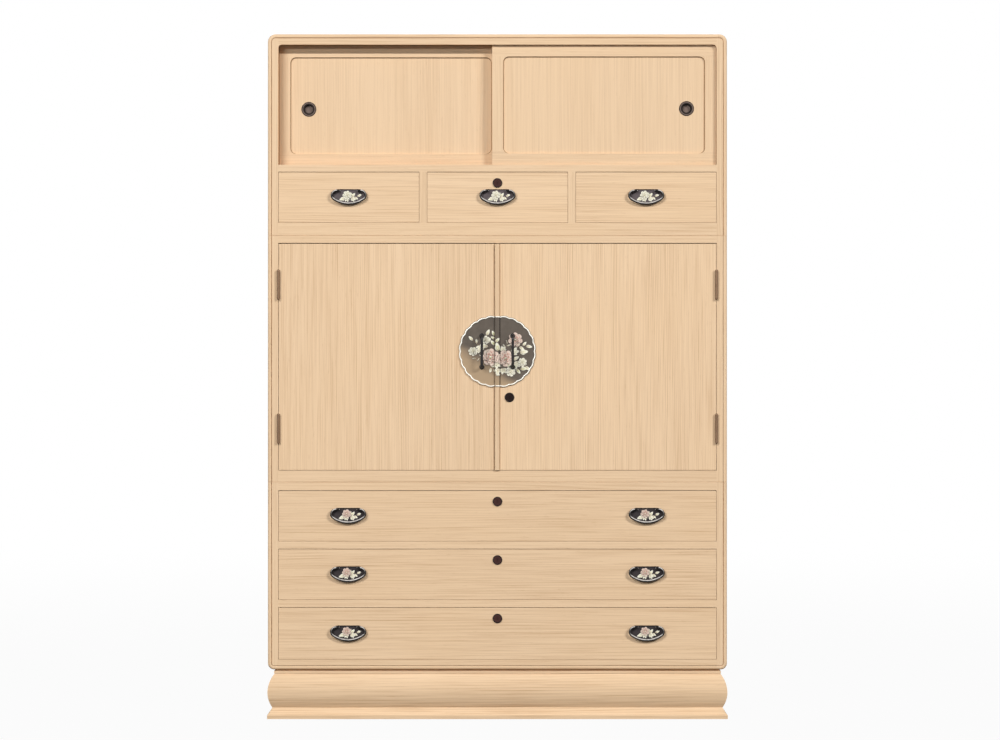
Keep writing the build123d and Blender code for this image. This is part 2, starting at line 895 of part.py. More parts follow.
def hinge_leaf_at(z, own):
    """A right-hand hinge leaf with its knuckles, flush with the edge of its board."""
    x0, x1 = hinge_leaf_span(own)
    half = hinge_length / 2
    leaf = hinge_leaf_block(z, own)
    for z0, z1 in knuckle_spans(z, own):
        leaf += block(x0, x1, hinge_y, front_y, z0, z1)
        leaf += post_along_z(hinge_x, hinge_y, z0, z1, hinge_barrel_radius)
    eye = hinge_pin_radius + hinge_running_fit
    reach = half + cut_margin
    return leaf - post_along_z(hinge_x, hinge_y, z - reach, z + reach, eye)


def hinge_pin_at(z):
    """The pin with a domed tip above and below the barrel."""
    half = hinge_length / 2
    pin = post_along_z(hinge_x, hinge_y, z - half, z + half, hinge_pin_radius)
    for end in (z - half, z + half):
        outer = end + math.copysign(hinge_tip_length, end - z)
        low, high = sorted((end, outer))
        tip = post_along_z(hinge_x, hinge_y, low, high, hinge_barrel_radius)
        rim = tip.faces().filter_by(Axis.Z).sort_by(lambda f: abs(f.center().Z - z))[-1]
        pin += fillet(rim.edges(), hinge_tip_round)
    return pin


def lobed_half(radius):
    """The right half of a disc with a scalloped rim, its flat edge on the Y axis."""
    step = math.pi / plate_lobes

    def polar(r, angle):
        return r * math.cos(angle), r * math.sin(angle)

    cusp = radius - plate_lobe_depth
    arcs = []
    for k in range(plate_lobes):
        start = -math.pi / 2 + k * step
        arcs.append(
            ThreePointArc(
                polar(cusp, start), polar(radius, start + step / 2), polar(cusp, start + step)
            )
        )
    return make_face(Curve() + [Line((0, cusp), (0, -cusp)), *arcs])


def half_plate(edge_x):
    """The right-hand half of the round door plate with its raised rim."""
    proud = plate_thickness + plate_rim_proud
    plate = raised(lobed_half(plate_radius), edge_x, front_y, plate_z, proud)
    ground = lobed_half(plate_radius - plate_rim_width)
    pocket = raised(ground, edge_x, front_y - plate_thickness, plate_z, plate_rim_proud)
    return plate - pocket


def door_pull(x):
    """A fixed bow pull: an upright bar bent back to two round feet."""
    foot_y = front_y - plate_thickness
    axis_y = front_y - door_pull_reach + door_pull_bar / 2
    low = plate_z - door_pull_length / 2
    high = plate_z + door_pull_length / 2
    path = FilletPolyline(
        (x, foot_y, low),
        (x, axis_y, low),
        (x, axis_y, high),
        (x, foot_y, high),
        radius=door_pull_bend,
    )
    start = Plane((x, foot_y, low), x_dir=(1, 0, 0), z_dir=(0, -1, 0))
    pull = sweep(start * Circle(door_pull_bar / 2), path=path)
    for z in (low, high):
        foot = rod(x, foot_y - door_pull_foot, foot_y, z, door_pull_foot_radius)
        pull += fillet(front_face_edges(foot), door_pull_foot / 2)
    return pull


def door_panel(x0, x1):
    """A flush door with eased front edges."""
    panel = block(x0, x1, front_y, front_back_y, door_bottom_z, door_top_z)
    return chamfer(front_face_edges(panel), edge_ease)


def batten_run(z0, z1, proud):
    """A length of the meeting batten: an eased left edge and a long fall to the right."""
    face_y = front_y - proud
    run = block(right_door_edge, batten_width / 2, face_y, front_y, z0, z1)
    for side, radius in ((-1, batten_edge_round), (1, batten_fall)):
        uprights = [e for e in front_face_edges(run) if abs(e.tangent_at(0.5).Z) > 0.5]
        run = fillet(max(uprights, key=lambda e: side * e.center().X), radius)
    return run


def doors():
    """Both doors with their hinges, plates and pulls; the right one has the batten."""
    swing_edge = inner_half - hinge_gap
    left_door = door_panel(-swing_edge, left_door_edge)
    right_door = door_panel(right_door_edge, swing_edge)
    for z in hinge_heights:
        right_door -= hinge_leaf_block(z, "door")
        left_door -= mirror(hinge_leaf_block(z, "door"), about=Plane.YZ)
    right_door -= bore(door_lock_x, front_y, front_back_y, door_lock_z, lock_barrel_radius)
    batten = batten_run(door_bottom_z, door_top_z, batten_proud)
    strip_half = plate_radius - plate_lobe_depth
    low, high = plate_z - strip_half, plate_z + strip_half
    strip = batten_run(low, high, batten_proud + plate_thickness)
    strip -= batten_run(low, high, batten_proud)
    hem_y = front_y - strip_hem
    strip -= block(right_door_edge, batten_width / 2, hem_y, front_y, low, high)
    case_leaves = [hinge_leaf_at(z, "case") for z in hinge_heights]
    door_leaves = [hinge_leaf_at(z, "door") for z in hinge_heights]
    pins = [hinge_pin_at(z) for z in hinge_heights]
    left_plate = mirror(half_plate(-left_door_edge), about=Plane.YZ)
    return {
        "left_door": [left_door],
        "right_door": [right_door],
        "door_batten": [batten],
        "left_door_plate": [left_plate],
        "right_door_plate": [half_plate(right_plate_edge), strip],
        "left_door_pull": [door_pull(left_door_edge - door_pull_inset)],
        "right_door_pull": [door_pull(right_plate_edge + door_pull_inset)],
        "left_door_leaves": [mirror(leaf, about=Plane.YZ) for leaf in door_leaves],
        "right_door_leaves": door_leaves,
        "hinge_case_halves": [
            part
            for half in (*case_leaves, *pins)
            for part in (half, mirror(half, about=Plane.YZ))
        ],
        "door_lock_housing": [lock_housing(door_lock_x, door_lock_z)],
        "door_lock_plug": [
            lock_plug(
                door_lock_x, door_lock_z, door_lock_x - left_door_edge + door_cam_catch, -1
            )
        ],
    }


# ---------------------------------------------------------------- the whole chest
def chest():
    """Every node's name and its solids."""
    return (
        plinth()
        | lower_case()
        | middle_case()
        | tray_set()
        | upper_case()
        | sliders()
        | all_drawers()
        | doors()
    )


def save(nodes):
    """One STEP file for each node."""
    os.makedirs("parts", exist_ok=True)
    for name, shapes in nodes.items():
        solids = [solid for shape in shapes for solid in shape.solids()]
        export_step(Compound(children=solids), f"parts/{name}.step")


save(chest())
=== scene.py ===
"""A three-tier kimono chest of paulownia with flower-relief fittings, on its fixed frame."""

import json
import math
from collections import namedtuple

import bmesh
import bpy
from bpy.props import FloatProperty, FloatVectorProperty, IntProperty, PointerProperty
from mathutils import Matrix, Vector

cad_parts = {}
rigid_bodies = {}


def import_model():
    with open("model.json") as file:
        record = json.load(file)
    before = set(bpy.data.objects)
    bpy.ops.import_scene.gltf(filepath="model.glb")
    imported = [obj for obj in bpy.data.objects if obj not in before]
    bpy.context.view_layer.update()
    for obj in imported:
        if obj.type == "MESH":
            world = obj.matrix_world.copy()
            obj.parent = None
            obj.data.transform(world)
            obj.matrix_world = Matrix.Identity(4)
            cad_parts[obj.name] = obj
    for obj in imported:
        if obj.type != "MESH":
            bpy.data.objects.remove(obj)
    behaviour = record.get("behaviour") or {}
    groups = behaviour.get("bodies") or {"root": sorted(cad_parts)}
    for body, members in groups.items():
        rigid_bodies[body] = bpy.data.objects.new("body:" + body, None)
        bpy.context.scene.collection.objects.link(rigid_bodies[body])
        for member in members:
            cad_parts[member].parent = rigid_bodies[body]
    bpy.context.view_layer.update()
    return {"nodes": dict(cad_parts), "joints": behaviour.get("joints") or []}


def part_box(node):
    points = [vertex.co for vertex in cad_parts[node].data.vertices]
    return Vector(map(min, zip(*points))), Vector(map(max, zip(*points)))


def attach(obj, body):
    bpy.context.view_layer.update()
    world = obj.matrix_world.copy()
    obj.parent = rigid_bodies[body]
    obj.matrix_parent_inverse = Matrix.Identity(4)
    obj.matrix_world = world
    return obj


bl_info = {
    "name": "Kimono Chest Maker",
    "version": (1, 0, 0),
    "blender": (4, 5, 0),
    "location": "3D View > Sidebar > Chest",
    "description": "Finishes a paulownia kimono chest with its grain, fittings and studio",
    "category": "Object",
}

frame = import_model()

MM = 0.001
AXES = "xyz"
JOINTS = {joint["name"]: joint for joint in frame["joints"]}
FLOOR = 0.0
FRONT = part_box("left_door")[0].y  # the face of the doors and drawers
FRONT_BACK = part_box("left_door")[1].y  # the back of the doors and drawer fronts
PULL_GROUND = FRONT - 1.5 * MM  # the face of the plates inside their raised rims
PULL_DROP = 16.5 * MM  # from a bail's pins down to the middle of its posy
PANEL_REBATE = 8 * MM  # how far a slider's panel reaches behind its frame
CORNER_RADIUS = 15 * MM  # of the window in a slider's frame


# ------------ sizes and colours
LENGTH = {"unit": "LENGTH", "subtype": "DISTANCE"}
POWER = {"unit": "POWER"}
SHARE = {"min": 0, "max": 1, "subtype": "FACTOR"}
COLOUR = {"min": 0, "max": 1, "subtype": "COLOR", "size": 3}


def setting(kind, name, description, default):
    """A colour, or a number of one kind, that the sidebar shows."""
    make = FloatVectorProperty if kind is COLOUR else FloatProperty
    return make(name=name, description=description, default=default, **kind)


class WoodFinish(bpy.types.PropertyGroup):
    """Colours and grain of the boards"""

    pale: setting(COLOUR, "Pale wood", "Early wood between the growth lines", (0.85, 0.622, 0.405))
    dark: setting(COLOUR, "Growth lines", "Late wood in the growth lines", (0.56, 0.355, 0.195))
    ring_spacing: setting(LENGTH, "Growth line spacing", "Distance between growth lines", 0.0068)
    ring_strength: setting(SHARE, "Growth line strength", "How much the lines darken", 0.36)
    streak_strength: setting(SHARE, "Streak strength", "How much fine streaks darken", 0.34)
    brushed_depth: setting(LENGTH, "Brushed depth", "Height of the brushed grain", 0.00014)
    plank_width: setting(LENGTH, "Plank width", "Width of the planks that are glued up", 0.118)
    # Painted shade: darkens the faces inside the cases, where little light reaches
    bare: setting(COLOUR, "Painted shade inside", "Tint of the faces inside a case", (0.68, 0.55, 0.43))
    # Painted shade: darkens the batten's right edge, the panels' edges under their frames, and the
    # plate beside the batten
    seam: setting(COLOUR, "Painted seam shade", "Tint of the painted shade along the seams", (0.40, 0.29, 0.21))
    roughness: setting(SHARE, "Roughness", "Roughness of the bare wood", 0.78)


class MetalFinish(bpy.types.PropertyGroup):
    """Colours of the fittings"""

    patina: setting(COLOUR, "Plate ground", "Dark patina of the door plate", (0.104, 0.085, 0.068))
    pull_ground: setting(COLOUR, "Pull ground", "Darker patina of the pulls", (0.040, 0.033, 0.034))
    mist: setting(COLOUR, "Mist", "Pale gold mist at the plate's foot", (0.42, 0.30, 0.185))
    black: setting(COLOUR, "Lacquer", "Black lacquer of bails and pulls", (0.010, 0.008, 0.008))
    # Painted highlight: a bright line on the bails where lamps above would glint
    bail_highlight: setting(COLOUR, "Painted highlight", "Metal where hands rub the bails", (0.66, 0.62, 0.58))
    lock: setting(COLOUR, "Lock", "Brown lacquer of the locks", (0.055, 0.022, 0.019))
    bronze: setting(COLOUR, "Hinge bronze", "Bronze of the hinges", (0.165, 0.102, 0.062))
    silver: setting(COLOUR, "Rim silver", "Bright rim of the door plate", (1.0, 0.97, 0.88))
    cup: setting(COLOUR, "Cup bronze", "Dark bronze of the finger cups", (0.075, 0.055, 0.046))


class ReliefSettings(bpy.types.PropertyGroup):
    """Height and enamels of the flower relief"""

    rise: setting(LENGTH, "Rise", "Height of a petal or leaf above its foot", 0.0013)
    cream: setting(COLOUR, "Cream", "Cream enamel of the pale petals", (0.93, 0.88, 0.62))
    rose: setting(COLOUR, "Rose", "Rose enamel of the pink petals", (0.66, 0.33, 0.25))
    leaf: setting(COLOUR, "Leaf", "Green-gold enamel of the leaves", (0.70, 0.70, 0.40))
    edge: setting(COLOUR, "Edge", "Pale edge of petals and leaves", (1.0, 0.97, 0.84))
    stem: setting(COLOUR, "Stem", "Dark gold of the stems", (0.25, 0.17, 0.10))
    outline: setting(COLOUR, "Outline", "Patina in the gaps between petals", (0.085, 0.055, 0.045))


class RimSettings(bpy.types.PropertyGroup):
    """Shape of the door plate's rim"""

    lobes: IntProperty(name="Lobes", description="Scallops on each half of the plate", default=12)
    lobe_depth: setting(LENGTH, "Lobe depth", "From a scallop's crest to its cusp", 0.0022)
    bead: setting(LENGTH, "Bead radius", "Radius of the bright bead on the plate's rim", 0.0017)


class StudioSettings(bpy.types.PropertyGroup):
    """Camera, floor and lights"""

    camera_distance: setting(LENGTH, "Camera distance", "From the lens to the chest's front", 7.0)
    camera_side: setting(LENGTH, "Camera side step", "Sideways place of the camera", 0.0066)
    camera_height: setting(LENGTH, "Camera height", "Height of the lens", 0.8963)
    view_width: setting(LENGTH, "View width", "Width of the view at the chest's front", 2.571)
    floor: setting(COLOUR, "Floor", "Colour of the paper floor", (0.16, 0.16, 0.16))
    right_power: setting(POWER, "Right light", "Power of the long light at the right", 1930)
    left_power: setting(POWER, "Left light", "Power of the high light at the left", 875)
    low_power: setting(POWER, "Low light", "Power of the low light at the left", 355)
    back_power: setting(POWER, "Back light", "Power of the light behind the chest", 300)
    ambient: setting(SHARE, "Ambient", "Strength of the even light from all round", 0.06)


# ------------ node maths
class Wire:
    """A socket that can stand in a sum."""

    def __init__(self, graph, socket):
        self.graph = graph
        self.socket = socket

    def maths(self, operation, *values):
        return self.graph.node("ShaderNodeMath", {"operation": operation}, dict(enumerate(values)))

    def __add__(self, other):
        return self.maths("ADD", self, other)

    def __sub__(self, other):
        return self.maths("SUBTRACT", self, other)

    def __rsub__(self, other):
        return self.maths("SUBTRACT", other, self)

    def __mul__(self, other):
        return self.maths("MULTIPLY", self, other)

    def __truediv__(self, other):
        return self.maths("DIVIDE", self, other)

    def __rtruediv__(self, other):
        return self.maths("DIVIDE", other, self)

    def __pow__(self, other):
        return self.maths("POWER", self, other)

    def __gt__(self, other):
        return self.maths("GREATER_THAN", self, other)

    def __lt__(self, other):
        return self.maths("LESS_THAN", self, other)

    def __abs__(self):
        return self.maths("ABSOLUTE", self)

    __radd__ = __add__
    __rmul__ = __mul__

    def fraction(self):
        return self.maths("FRACT", self)

    def root(self):
        return self.maths("SQRT", self)

    def floor(self):
        return self.maths("FLOOR", self)

    def sine(self):
        return self.maths("SINE", self)

    def most(self, other):
        return self.maths("MAXIMUM", self, other)

    def ramp(self, low, high):
        """0 below low, 1 above high, with a smooth change between."""
        return self.graph.node(
            "ShaderNodeMapRange",
            {"interpolation_type": "SMOOTHSTEP"},
            {"Value": self, "From Min": low, "From Max": high},
        )


class Graph:
    """A node tree while its nodes are laid out."""

    def __init__(self, tree):
        self.tree = tree

    def node(self, kind, settings=None, sockets=None, out=0):
        """Adds a node; returns its output as a Wire, or the node itself where out is None."""
        node = self.tree.nodes.new(kind)
        for key, value in (settings or {}).items():
            setattr(node, key, value)
        for key, value in (sockets or {}).items():
            if isinstance(value, Wire):
                self.tree.links.new(value.socket, node.inputs[key])
            else:
                node.inputs[key].default_value = value
        return node if out is None else Wire(self, node.outputs[out])


MIX_LOW, MIX_HIGH, MIX_OUT = 6, 7, 2  # the colour sockets of a Mix node
SHIFT = (7.31, 3.17, 5.73)  # sets each seed's pattern at a place of its own


class Recipe(Graph):
    """One material while its nodes are laid out."""

    def __init__(self, name):
        self.material = bpy.data.materials.new(name)
        self.material.use_nodes = True
        super().__init__(self.material.node_tree)
        self.tree.nodes.clear()
        self.lookup = self.node("ShaderNodeTexCoord", {}, {}, None)
        self.place = Wire(self, self.lookup.outputs["Object"])
        self.x, self.y, self.z = self.parts(self.place)

    def parts(self, vector):
        """A vector's X, Y and Z."""
        split = self.node("ShaderNodeSeparateXYZ", {}, {"Vector": vector}, None)
        return (Wire(self, socket) for socket in split.outputs)

    def facing(self):
        """The surface's own direction on the piece, as its X, Y and Z."""
        return self.parts(Wire(self, self.lookup.outputs["Normal"]))

    def attribute(self, name):
        """A number kept on the mesh."""
        return self.node("ShaderNodeAttribute", {"attribute_name": name}, {}, "Fac")

    def away(self, x, z):
        """Distance in the front view from a place."""
        return ((self.x - x) ** 2.0 + (self.z - z) ** 2.0).root()

    def noise(self, scale, seed, detail=2.0, roughness=0.5):
        """Noise from 0 to 1 whose grain has these counts to the metre along X, Y and Z."""
        drawn = {0: self.place, 1: scale}
        drawn = self.node("ShaderNodeVectorMath", {"operation": "MULTIPLY"}, drawn)
        moved = {0: drawn, 1: scaled(SHIFT, seed)}
        moved = self.node("ShaderNodeVectorMath", {"operation": "ADD"}, moved)
        sockets = {"Vector": moved, "Scale": 1.0, "Detail": detail, "Roughness": roughness}
        return self.node("ShaderNodeTexNoise", {"noise_dimensions": "3D"}, sockets)

    def speckle(self, count, seed, detail=3.0, roughness=0.5):
        """Noise from 0 to 1 with the same count to the metre every way."""
        return self.noise((count, count, count), seed, detail, roughness)

    def mix(self, factor, low, high, blend="MIX"):
        """Two colours mixed."""
        sockets = {"Factor": factor, MIX_LOW: opaque(low), MIX_HIGH: opaque(high)}
        kind = {"data_type": "RGBA", "blend_type": blend}
        return self.node("ShaderNodeMix", kind, sockets, MIX_OUT)

    def finish(self, base, roughness, height, depth, metallic=0.0, specular=0.5):
        """The surface, with a height in shares of a depth."""
        raised = {"Height": height, "Distance": depth, "Strength": 1.0}
        sockets = {
            "Base Color": opaque(base),
            "Roughness": roughness,
            "Metallic": metallic,
            "Specular IOR Level": specular,
            "Normal": self.node("ShaderNodeBump", {}, raised),
        }
        surface = self.node("ShaderNodeBsdfPrincipled", {}, sockets)
        self.node("ShaderNodeOutputMaterial", {}, {"Surface": surface}, None)
        return self.material


def opaque(colour):
    """A wire as it is, or a colour with its alpha."""
    return colour if isinstance(colour, Wire) else (*colour[:3], 1.0)


def scaled(colour, share):
    """A colour or a shift made smaller or larger by a share."""
    return tuple(channel * share for channel in colour)


def mesh_of(name, vertices, edges=(), faces=()):
    """A new mesh."""
    data = bpy.data.meshes.new(name)
    data.from_pydata(vertices, edges, faces)
    return data


def placed(name, data):
    """A new object in the scene."""
    thing = bpy.data.objects.new(name, data)
    bpy.context.scene.collection.objects.link(thing)
    return thing


def scene_settings(name):
    """One of the chest's groups of settings."""
    return getattr(bpy.context.scene, name)


# ------------ wood
# A board's main axis; its line spacing, strength and tone as shares of the finish's; a second
# axis and the mask where it runs; and the masks for painted shade inside the cases and along seams.
Grain = namedtuple(
    "Grain",
    "axis spacing strength tone other_axis other_where bare_where seam_where",
    defaults=(1.0, 1.0, 1.0, None, None, None, None),
)
# How far growth lines lean on a board along each axis, as shares of X, Y and Z.
GROWTH_SLOPES = {"x": (0, 0.45, 1), "y": (1, 0, 0.8), "z": (1, 0.6, 0)}
WARM_TINT = (1.0, 0.965, 0.9)


def straight_grain(recipe, axis, seed, grain):
    """How dark quarter-sawn paulownia is at each place, and how high its brushed grain is."""
    wood = scene_settings("chest_wood")
    spacing = wood.ring_spacing * grain.spacing

    def layer(number, along, across, detail=2.0, roughness=0.5):
        """Noise with these counts to the metre along the grain and across it."""
        counts = tuple(along if letter == axis else across for letter in AXES)
        return recipe.noise(counts, seed + number, detail, roughness)

    wander = layer(0, 0.55, 4.0)
    slopes = GROWTH_SLOPES[axis]
    depth = recipe.x * slopes[0] + recipe.y * slopes[1] + recipe.z * slopes[2]
    turn = (depth / spacing + wander * 11.0 + seed * 0.37).fraction()
    line = (1.0 - abs(turn * 2.0 - 1.0)) ** 2.2
    rings = line * layer(1, 1.4, 0.26 / spacing).ramp(0.40, 0.74)
    streaks = layer(2, 6.0, 3.4 / spacing, roughness=0.6)
    hairs = layer(3, 3.5, 400.0, detail=1.0)
    bands = layer(4, 0.5, 11.0)
    pores = layer(5, 42.0, 520.0, detail=1.0).ramp(0.66, 0.76)
    plank = (depth / wood.plank_width + seed * 0.19).floor() + seed * 3.7
    planks = recipe.node("ShaderNodeTexWhiteNoise", {"noise_dimensions": "1D"}, {"W": plank})
    darkness = (
        (rings * wood.ring_strength + streaks.ramp(0.42, 0.74) * wood.streak_strength)
        * grain.strength
        + hairs.ramp(0.35, 0.70) * 0.15
        + bands * 0.12
        + planks * 0.08
        + pores * 0.20
        - 0.10
    )
    height = 1.0 - rings * 0.5 - streaks * 0.3 - hairs * 0.3 - pores * 0.5
    return darkness, height


def board_finish(name, seed, grain):
    """Paulownia with its grain along one axis, and along another where a mask says."""
    wood = scene_settings("chest_wood")
    recipe = Recipe(name)
    darkness, height = straight_grain(recipe, grain.axis, seed, grain)
    if grain.other_where is not None:
        mask = grain.other_where(recipe)
        other_darkness, other_height = straight_grain(recipe, grain.other_axis, seed + 11, grain)
        darkness = darkness * (1.0 - mask) + other_darkness * mask
        height = height * (1.0 - mask) + other_height * mask
    pale = scaled(wood.pale, grain.tone)
    base = recipe.mix(darkness, pale, scaled(wood.dark, grain.tone))
    warm = tuple(channel * tint for channel, tint in zip(pale, WARM_TINT))
    warmth = recipe.speckle(3.0, seed + 6, 2.0).ramp(0.3, 0.7)
    base = recipe.mix(warmth * 0.25, base, warm)
    # The inside mask paints shade inside the cases; the seam mask paints shade along the seams
    for where, tint in ((grain.bare_where, wood.bare), (grain.seam_where, wood.seam)):
        if where is not None:
            base = recipe.mix(where(recipe), base, tint, "MULTIPLY")
    roughness = wood.roughness - 0.1 * height
    return recipe.finish(base, roughness, height, wood.brushed_depth, specular=0.2)


def outside_of(node, margin, axis):
    """A mask that is 1 outside the middle of a node's box, past a margin from its two sides."""
    low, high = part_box(node)
    index = AXES.index(axis)
    middle = (low[index] + high[index]) / 2
    half = (high[index] - low[index]) / 2 - margin

    def mask(recipe):
        return abs((recipe.x, recipe.y, recipe.z)[index] - middle) > half

    return mask


def box_sides_of(node, margin, behind):
    """A mask that is 1 on the two side boards of a drawer or tray."""
    sides = outside_of(node, margin, "x")
    return lambda recipe: sides(recipe) * (recipe.y > behind)


def inside_case(recipe):
    """A mask that is 1 on the faces inside the cases, where painted shade darkens the wood."""
    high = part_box("upper_case_sides")[1]
    middle_z = (high.z + FLOOR) / 2
    clear = 6 * MM
    across = abs(recipe.x) < high.x - clear
    down = abs(recipe.z - middle_z) < high.z - middle_z - clear
    return across * down * (recipe.y > FRONT + 2 * MM) * (recipe.y < high.y - clear)


def batten_seam_shade(recipe):
    """A mask along the batten's right edge, where shade is painted."""
    inset, half_width, share = 1.0 * MM, 1.3 * MM, 0.45
    edge = span("door_batten")[1] - inset
    return (abs(recipe.x - edge) < half_width) * share


def panel_seam_shade(node):
    """A mask along the frame's edge on a slider's panel, but for the straight foot, where the
    frame's shadow is painted.
    """
    low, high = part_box(node)
    middle = (low + high) / 2
    half_x = high.x - middle.x - PANEL_REBATE - CORNER_RADIUS
    half_z = high.z - middle.z - PANEL_REBATE - CORNER_RADIUS
    line_width = 1.6 * MM

    def mask(recipe):
        past_x = (abs(recipe.x - middle.x) - half_x).most(0.0)
        past_z = (abs(recipe.z - middle.z) - half_z).most(0.0)
        line = (past_x**2.0 + past_z**2.0).root() > CORNER_RADIUS - line_width
        corner = (abs(recipe.x - middle.x) - half_x).ramp(-2 * MM, 9 * MM)
        above = (recipe.z - middle.z + half_z).ramp(-8 * MM, 0.0)
        return line * corner.most(above)

    return mask


def board_rules():
    """The grain of each wooden node."""
    plinth_ends = outside_of("plinth_frame", 45 * MM, "x")
    tray_front_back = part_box("kimono_trays")[0].y + 14 * MM
    tray_sides = box_sides_of("kimono_trays", 12 * MM, tray_front_back)
    rules = {
        "plinth_front": Grain("x", 1.2, 1.45),
        "plinth_frame": Grain("x", 1.2, 1.45, other_axis="y", other_where=plinth_ends),
        "kimono_trays": Grain("x", 1.6, other_axis="y", other_where=tray_sides),
        "tray_runners": Grain("y"),
        "upper_drawer_dividers": Grain("z"),
        "left_door": Grain("z", 0.85, 1.25, 1.03),
        "right_door": Grain("z", 0.85, 1.35, 1.04),
        # The batten gets painted shade along its right edge
        "door_batten": Grain("z", 0.7, 0.8, 0.97, seam_where=batten_seam_shade),
        # The shelf, sides and boards get painted shade on their faces inside the cases
        "slider_shelf": Grain("x", bare_where=inside_case),
        "lower_drawer_rails": Grain("x", 1.4),
        "lower_dust_boards": Grain("x", 1.6),
    }
    for case in ("lower", "middle", "upper"):
        rules[f"{case}_case_sides"] = Grain("z", 1.2, bare_where=inside_case)
        rules[f"{case}_case_boards"] = Grain("x", 1.2, bare_where=inside_case)
        rules[f"{case}_case_back"] = Grain("x", 1.6)
    for side in ("left", "right"):
        slider, panel = f"{side}_slider_frame", f"{side}_slider_panel"
        rails = outside_of(slider, 38 * MM, "z")
        rules[slider] = Grain("z", strength=0.7, other_axis="x", other_where=rails)
        # Each panel gets a painted shadow of its frame along its top and sides
        rules[panel] = Grain("z", 1.3, 0.55, seam_where=panel_seam_shade(panel))
    for drawer in drawer_names():
        node = f"{drawer}_drawer"
        tone = 1.0 if drawer.startswith("lower") else 1.03
        box_sides = box_sides_of(node, 11.5 * MM, FRONT_BACK)
        rules[node] = Grain("x", 1.0, 1.4, tone, "y", box_sides)
    return rules


def drawer_names():
    """The six drawers, from the top left to the foot."""
    upper = [f"upper_{place}" for place in ("left", "centre", "right")]
    return upper + [f"lower_{place}" for place in ("top", "middle", "bottom")]


def cover(node, material):
    """Gives a fixed node one material all over."""
    data = frame["nodes"][node].data
    data.materials.clear()
    data.materials.append(material)


class CHEST_OT_boards(bpy.types.Operator):
    """Gives every wooden board its straight paulownia grain"""

    bl_idname = "chest.boards"
    bl_label = "Boards"

    def execute(self, context):
        for seed, (node, grain) in enumerate(board_rules().items()):
            cover(node, board_finish(f"paulownia_{node}", seed + 1, grain))
        return {"FINISHED"}


# ------------ metal
GRIME = (0.02, 0.016, 0.014)
TURNING_MARKS = 2600.0  # on turned fittings, in radians to the metre
METAL_SEED = 100  # the first node's, and each next node's is one more


def span(node):
    """The left and right edges of a node's box."""
    low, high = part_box(node)
    return low.x, high.x


def middle_of(node):
    """The middle of a node's box in the front view, as x and z."""
    low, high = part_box(node)
    return (low.x + high.x) / 2, (low.z + high.z) / 2


def plate_centre():
    """The middle of the round door plate in the front view."""
    return middle_of("door_batten")[0], middle_of("left_door_plate")[1]


def lock_place(node):
    """Where a node's lock turns in the front view, or None if it has no lock."""
    for ending in ("_fittings", "_lock_plug", "_lock_housing"):
        node = node.removesuffix(ending)
    joint = JOINTS.get(f"{node}_lock_turn")
    return (joint["pos_m"][0], joint["pos_m"][2]) if joint else None


def patina(recipe, ground, seed):
    """A clouded dark metal colour and the cloud itself."""
    cloud = recipe.speckle(60, seed, 4.0, 0.6)
    return recipe.mix(cloud.ramp(0.35, 0.7) * 0.3, ground, scaled(ground, 1.7)), cloud


def door_plate_finish(name, seed):
    """Dark patina over pale gold mist that rises from the foot of the plate."""
    metal = scene_settings("chest_metal")
    recipe = Recipe(name)
    base, cloud = patina(recipe, metal.patina, seed)
    x, z = plate_centre()
    drift = recipe.noise((9, 9, 26), 7, 3.0) * (35 * MM)
    depth = (z - recipe.z) - (recipe.x - x) * 0.62 - drift
    base = recipe.mix(depth.ramp(12 * MM, 58 * MM) * 0.92, base, metal.mist)
    # Painted shade: a dark line on the plate along the batten's right edge
    seam = abs(recipe.x - span("door_batten")[1]) < 1.2 * MM
    base = recipe.mix(seam * 0.75, base, metal.black)
    grit = recipe.speckle(1500, seed + 1, 2.0)
    roughness = 0.40 + cloud * 0.14
    return recipe.finish(base, roughness, grit, 0.03 * MM, metallic=0.35, specular=0.3)


def pull_plate_finish(name, seed, lock_at):
    """Near-black patina, with brown lacquer on the lock if there is one."""
    metal = scene_settings("chest_metal")
    recipe = Recipe(name)
    lighter = 2.6 if name.startswith("pull_plate_upper") else 1.0
    base, cloud = patina(recipe, scaled(metal.pull_ground, lighter), seed)
    raised_rim = recipe.y < PULL_GROUND - 0.3 * MM
    base = recipe.mix(raised_rim, base, metal.black)
    if lock_at is not None:
        ring = recipe.away(*lock_at)
        lock = recipe.mix(ring.ramp(8.8 * MM, 11.2 * MM), metal.lock, metal.black)
        base = recipe.mix(ring < 14 * MM, base, lock)
    grit = recipe.speckle(1500, seed + 1, 2.0)
    return recipe.finish(base, 0.40 + cloud * 0.14, grit, 0.03 * MM, specular=0.15)


def lacquer_finish(name, colour, seed, roughness=0.28, metallic=0.0):
    """A smooth coloured coat with slight clouds."""
    recipe = Recipe(name)
    cloud = recipe.speckle(90, seed)
    grit = recipe.speckle(900, seed + 1, 2.0)
    base = recipe.mix(cloud, colour, scaled(colour, 1.35))
    roughness = roughness + cloud * 0.1
    return recipe.finish(base, roughness, grit, 0.01 * MM, metallic, specular=0.3)


def bail_finish(name, seed):
    """Black lacquer with a painted highlight along the crest that faces up and to the front."""
    metal = scene_settings("chest_metal")
    recipe = Recipe(name)
    _, out, up = recipe.facing()
    cloud = recipe.speckle(140, seed)
    # Painted highlight: lighter where the surface faces up and forward, towards the lamps
    highlight_up, highlight_out = 0.48, 0.877
    painted_highlight = (up * highlight_up - out * highlight_out).ramp(0.85, 0.96)
    painted_highlight = painted_highlight * (0.55 + cloud.ramp(0.25, 0.6) * 0.45)
    base = recipe.mix(painted_highlight, metal.black, metal.bail_highlight)
    grit = recipe.speckle(900, seed + 1, 2.0)
    return recipe.finish(base, 0.26 + cloud * 0.08, grit, 0.005 * MM, specular=0.15)


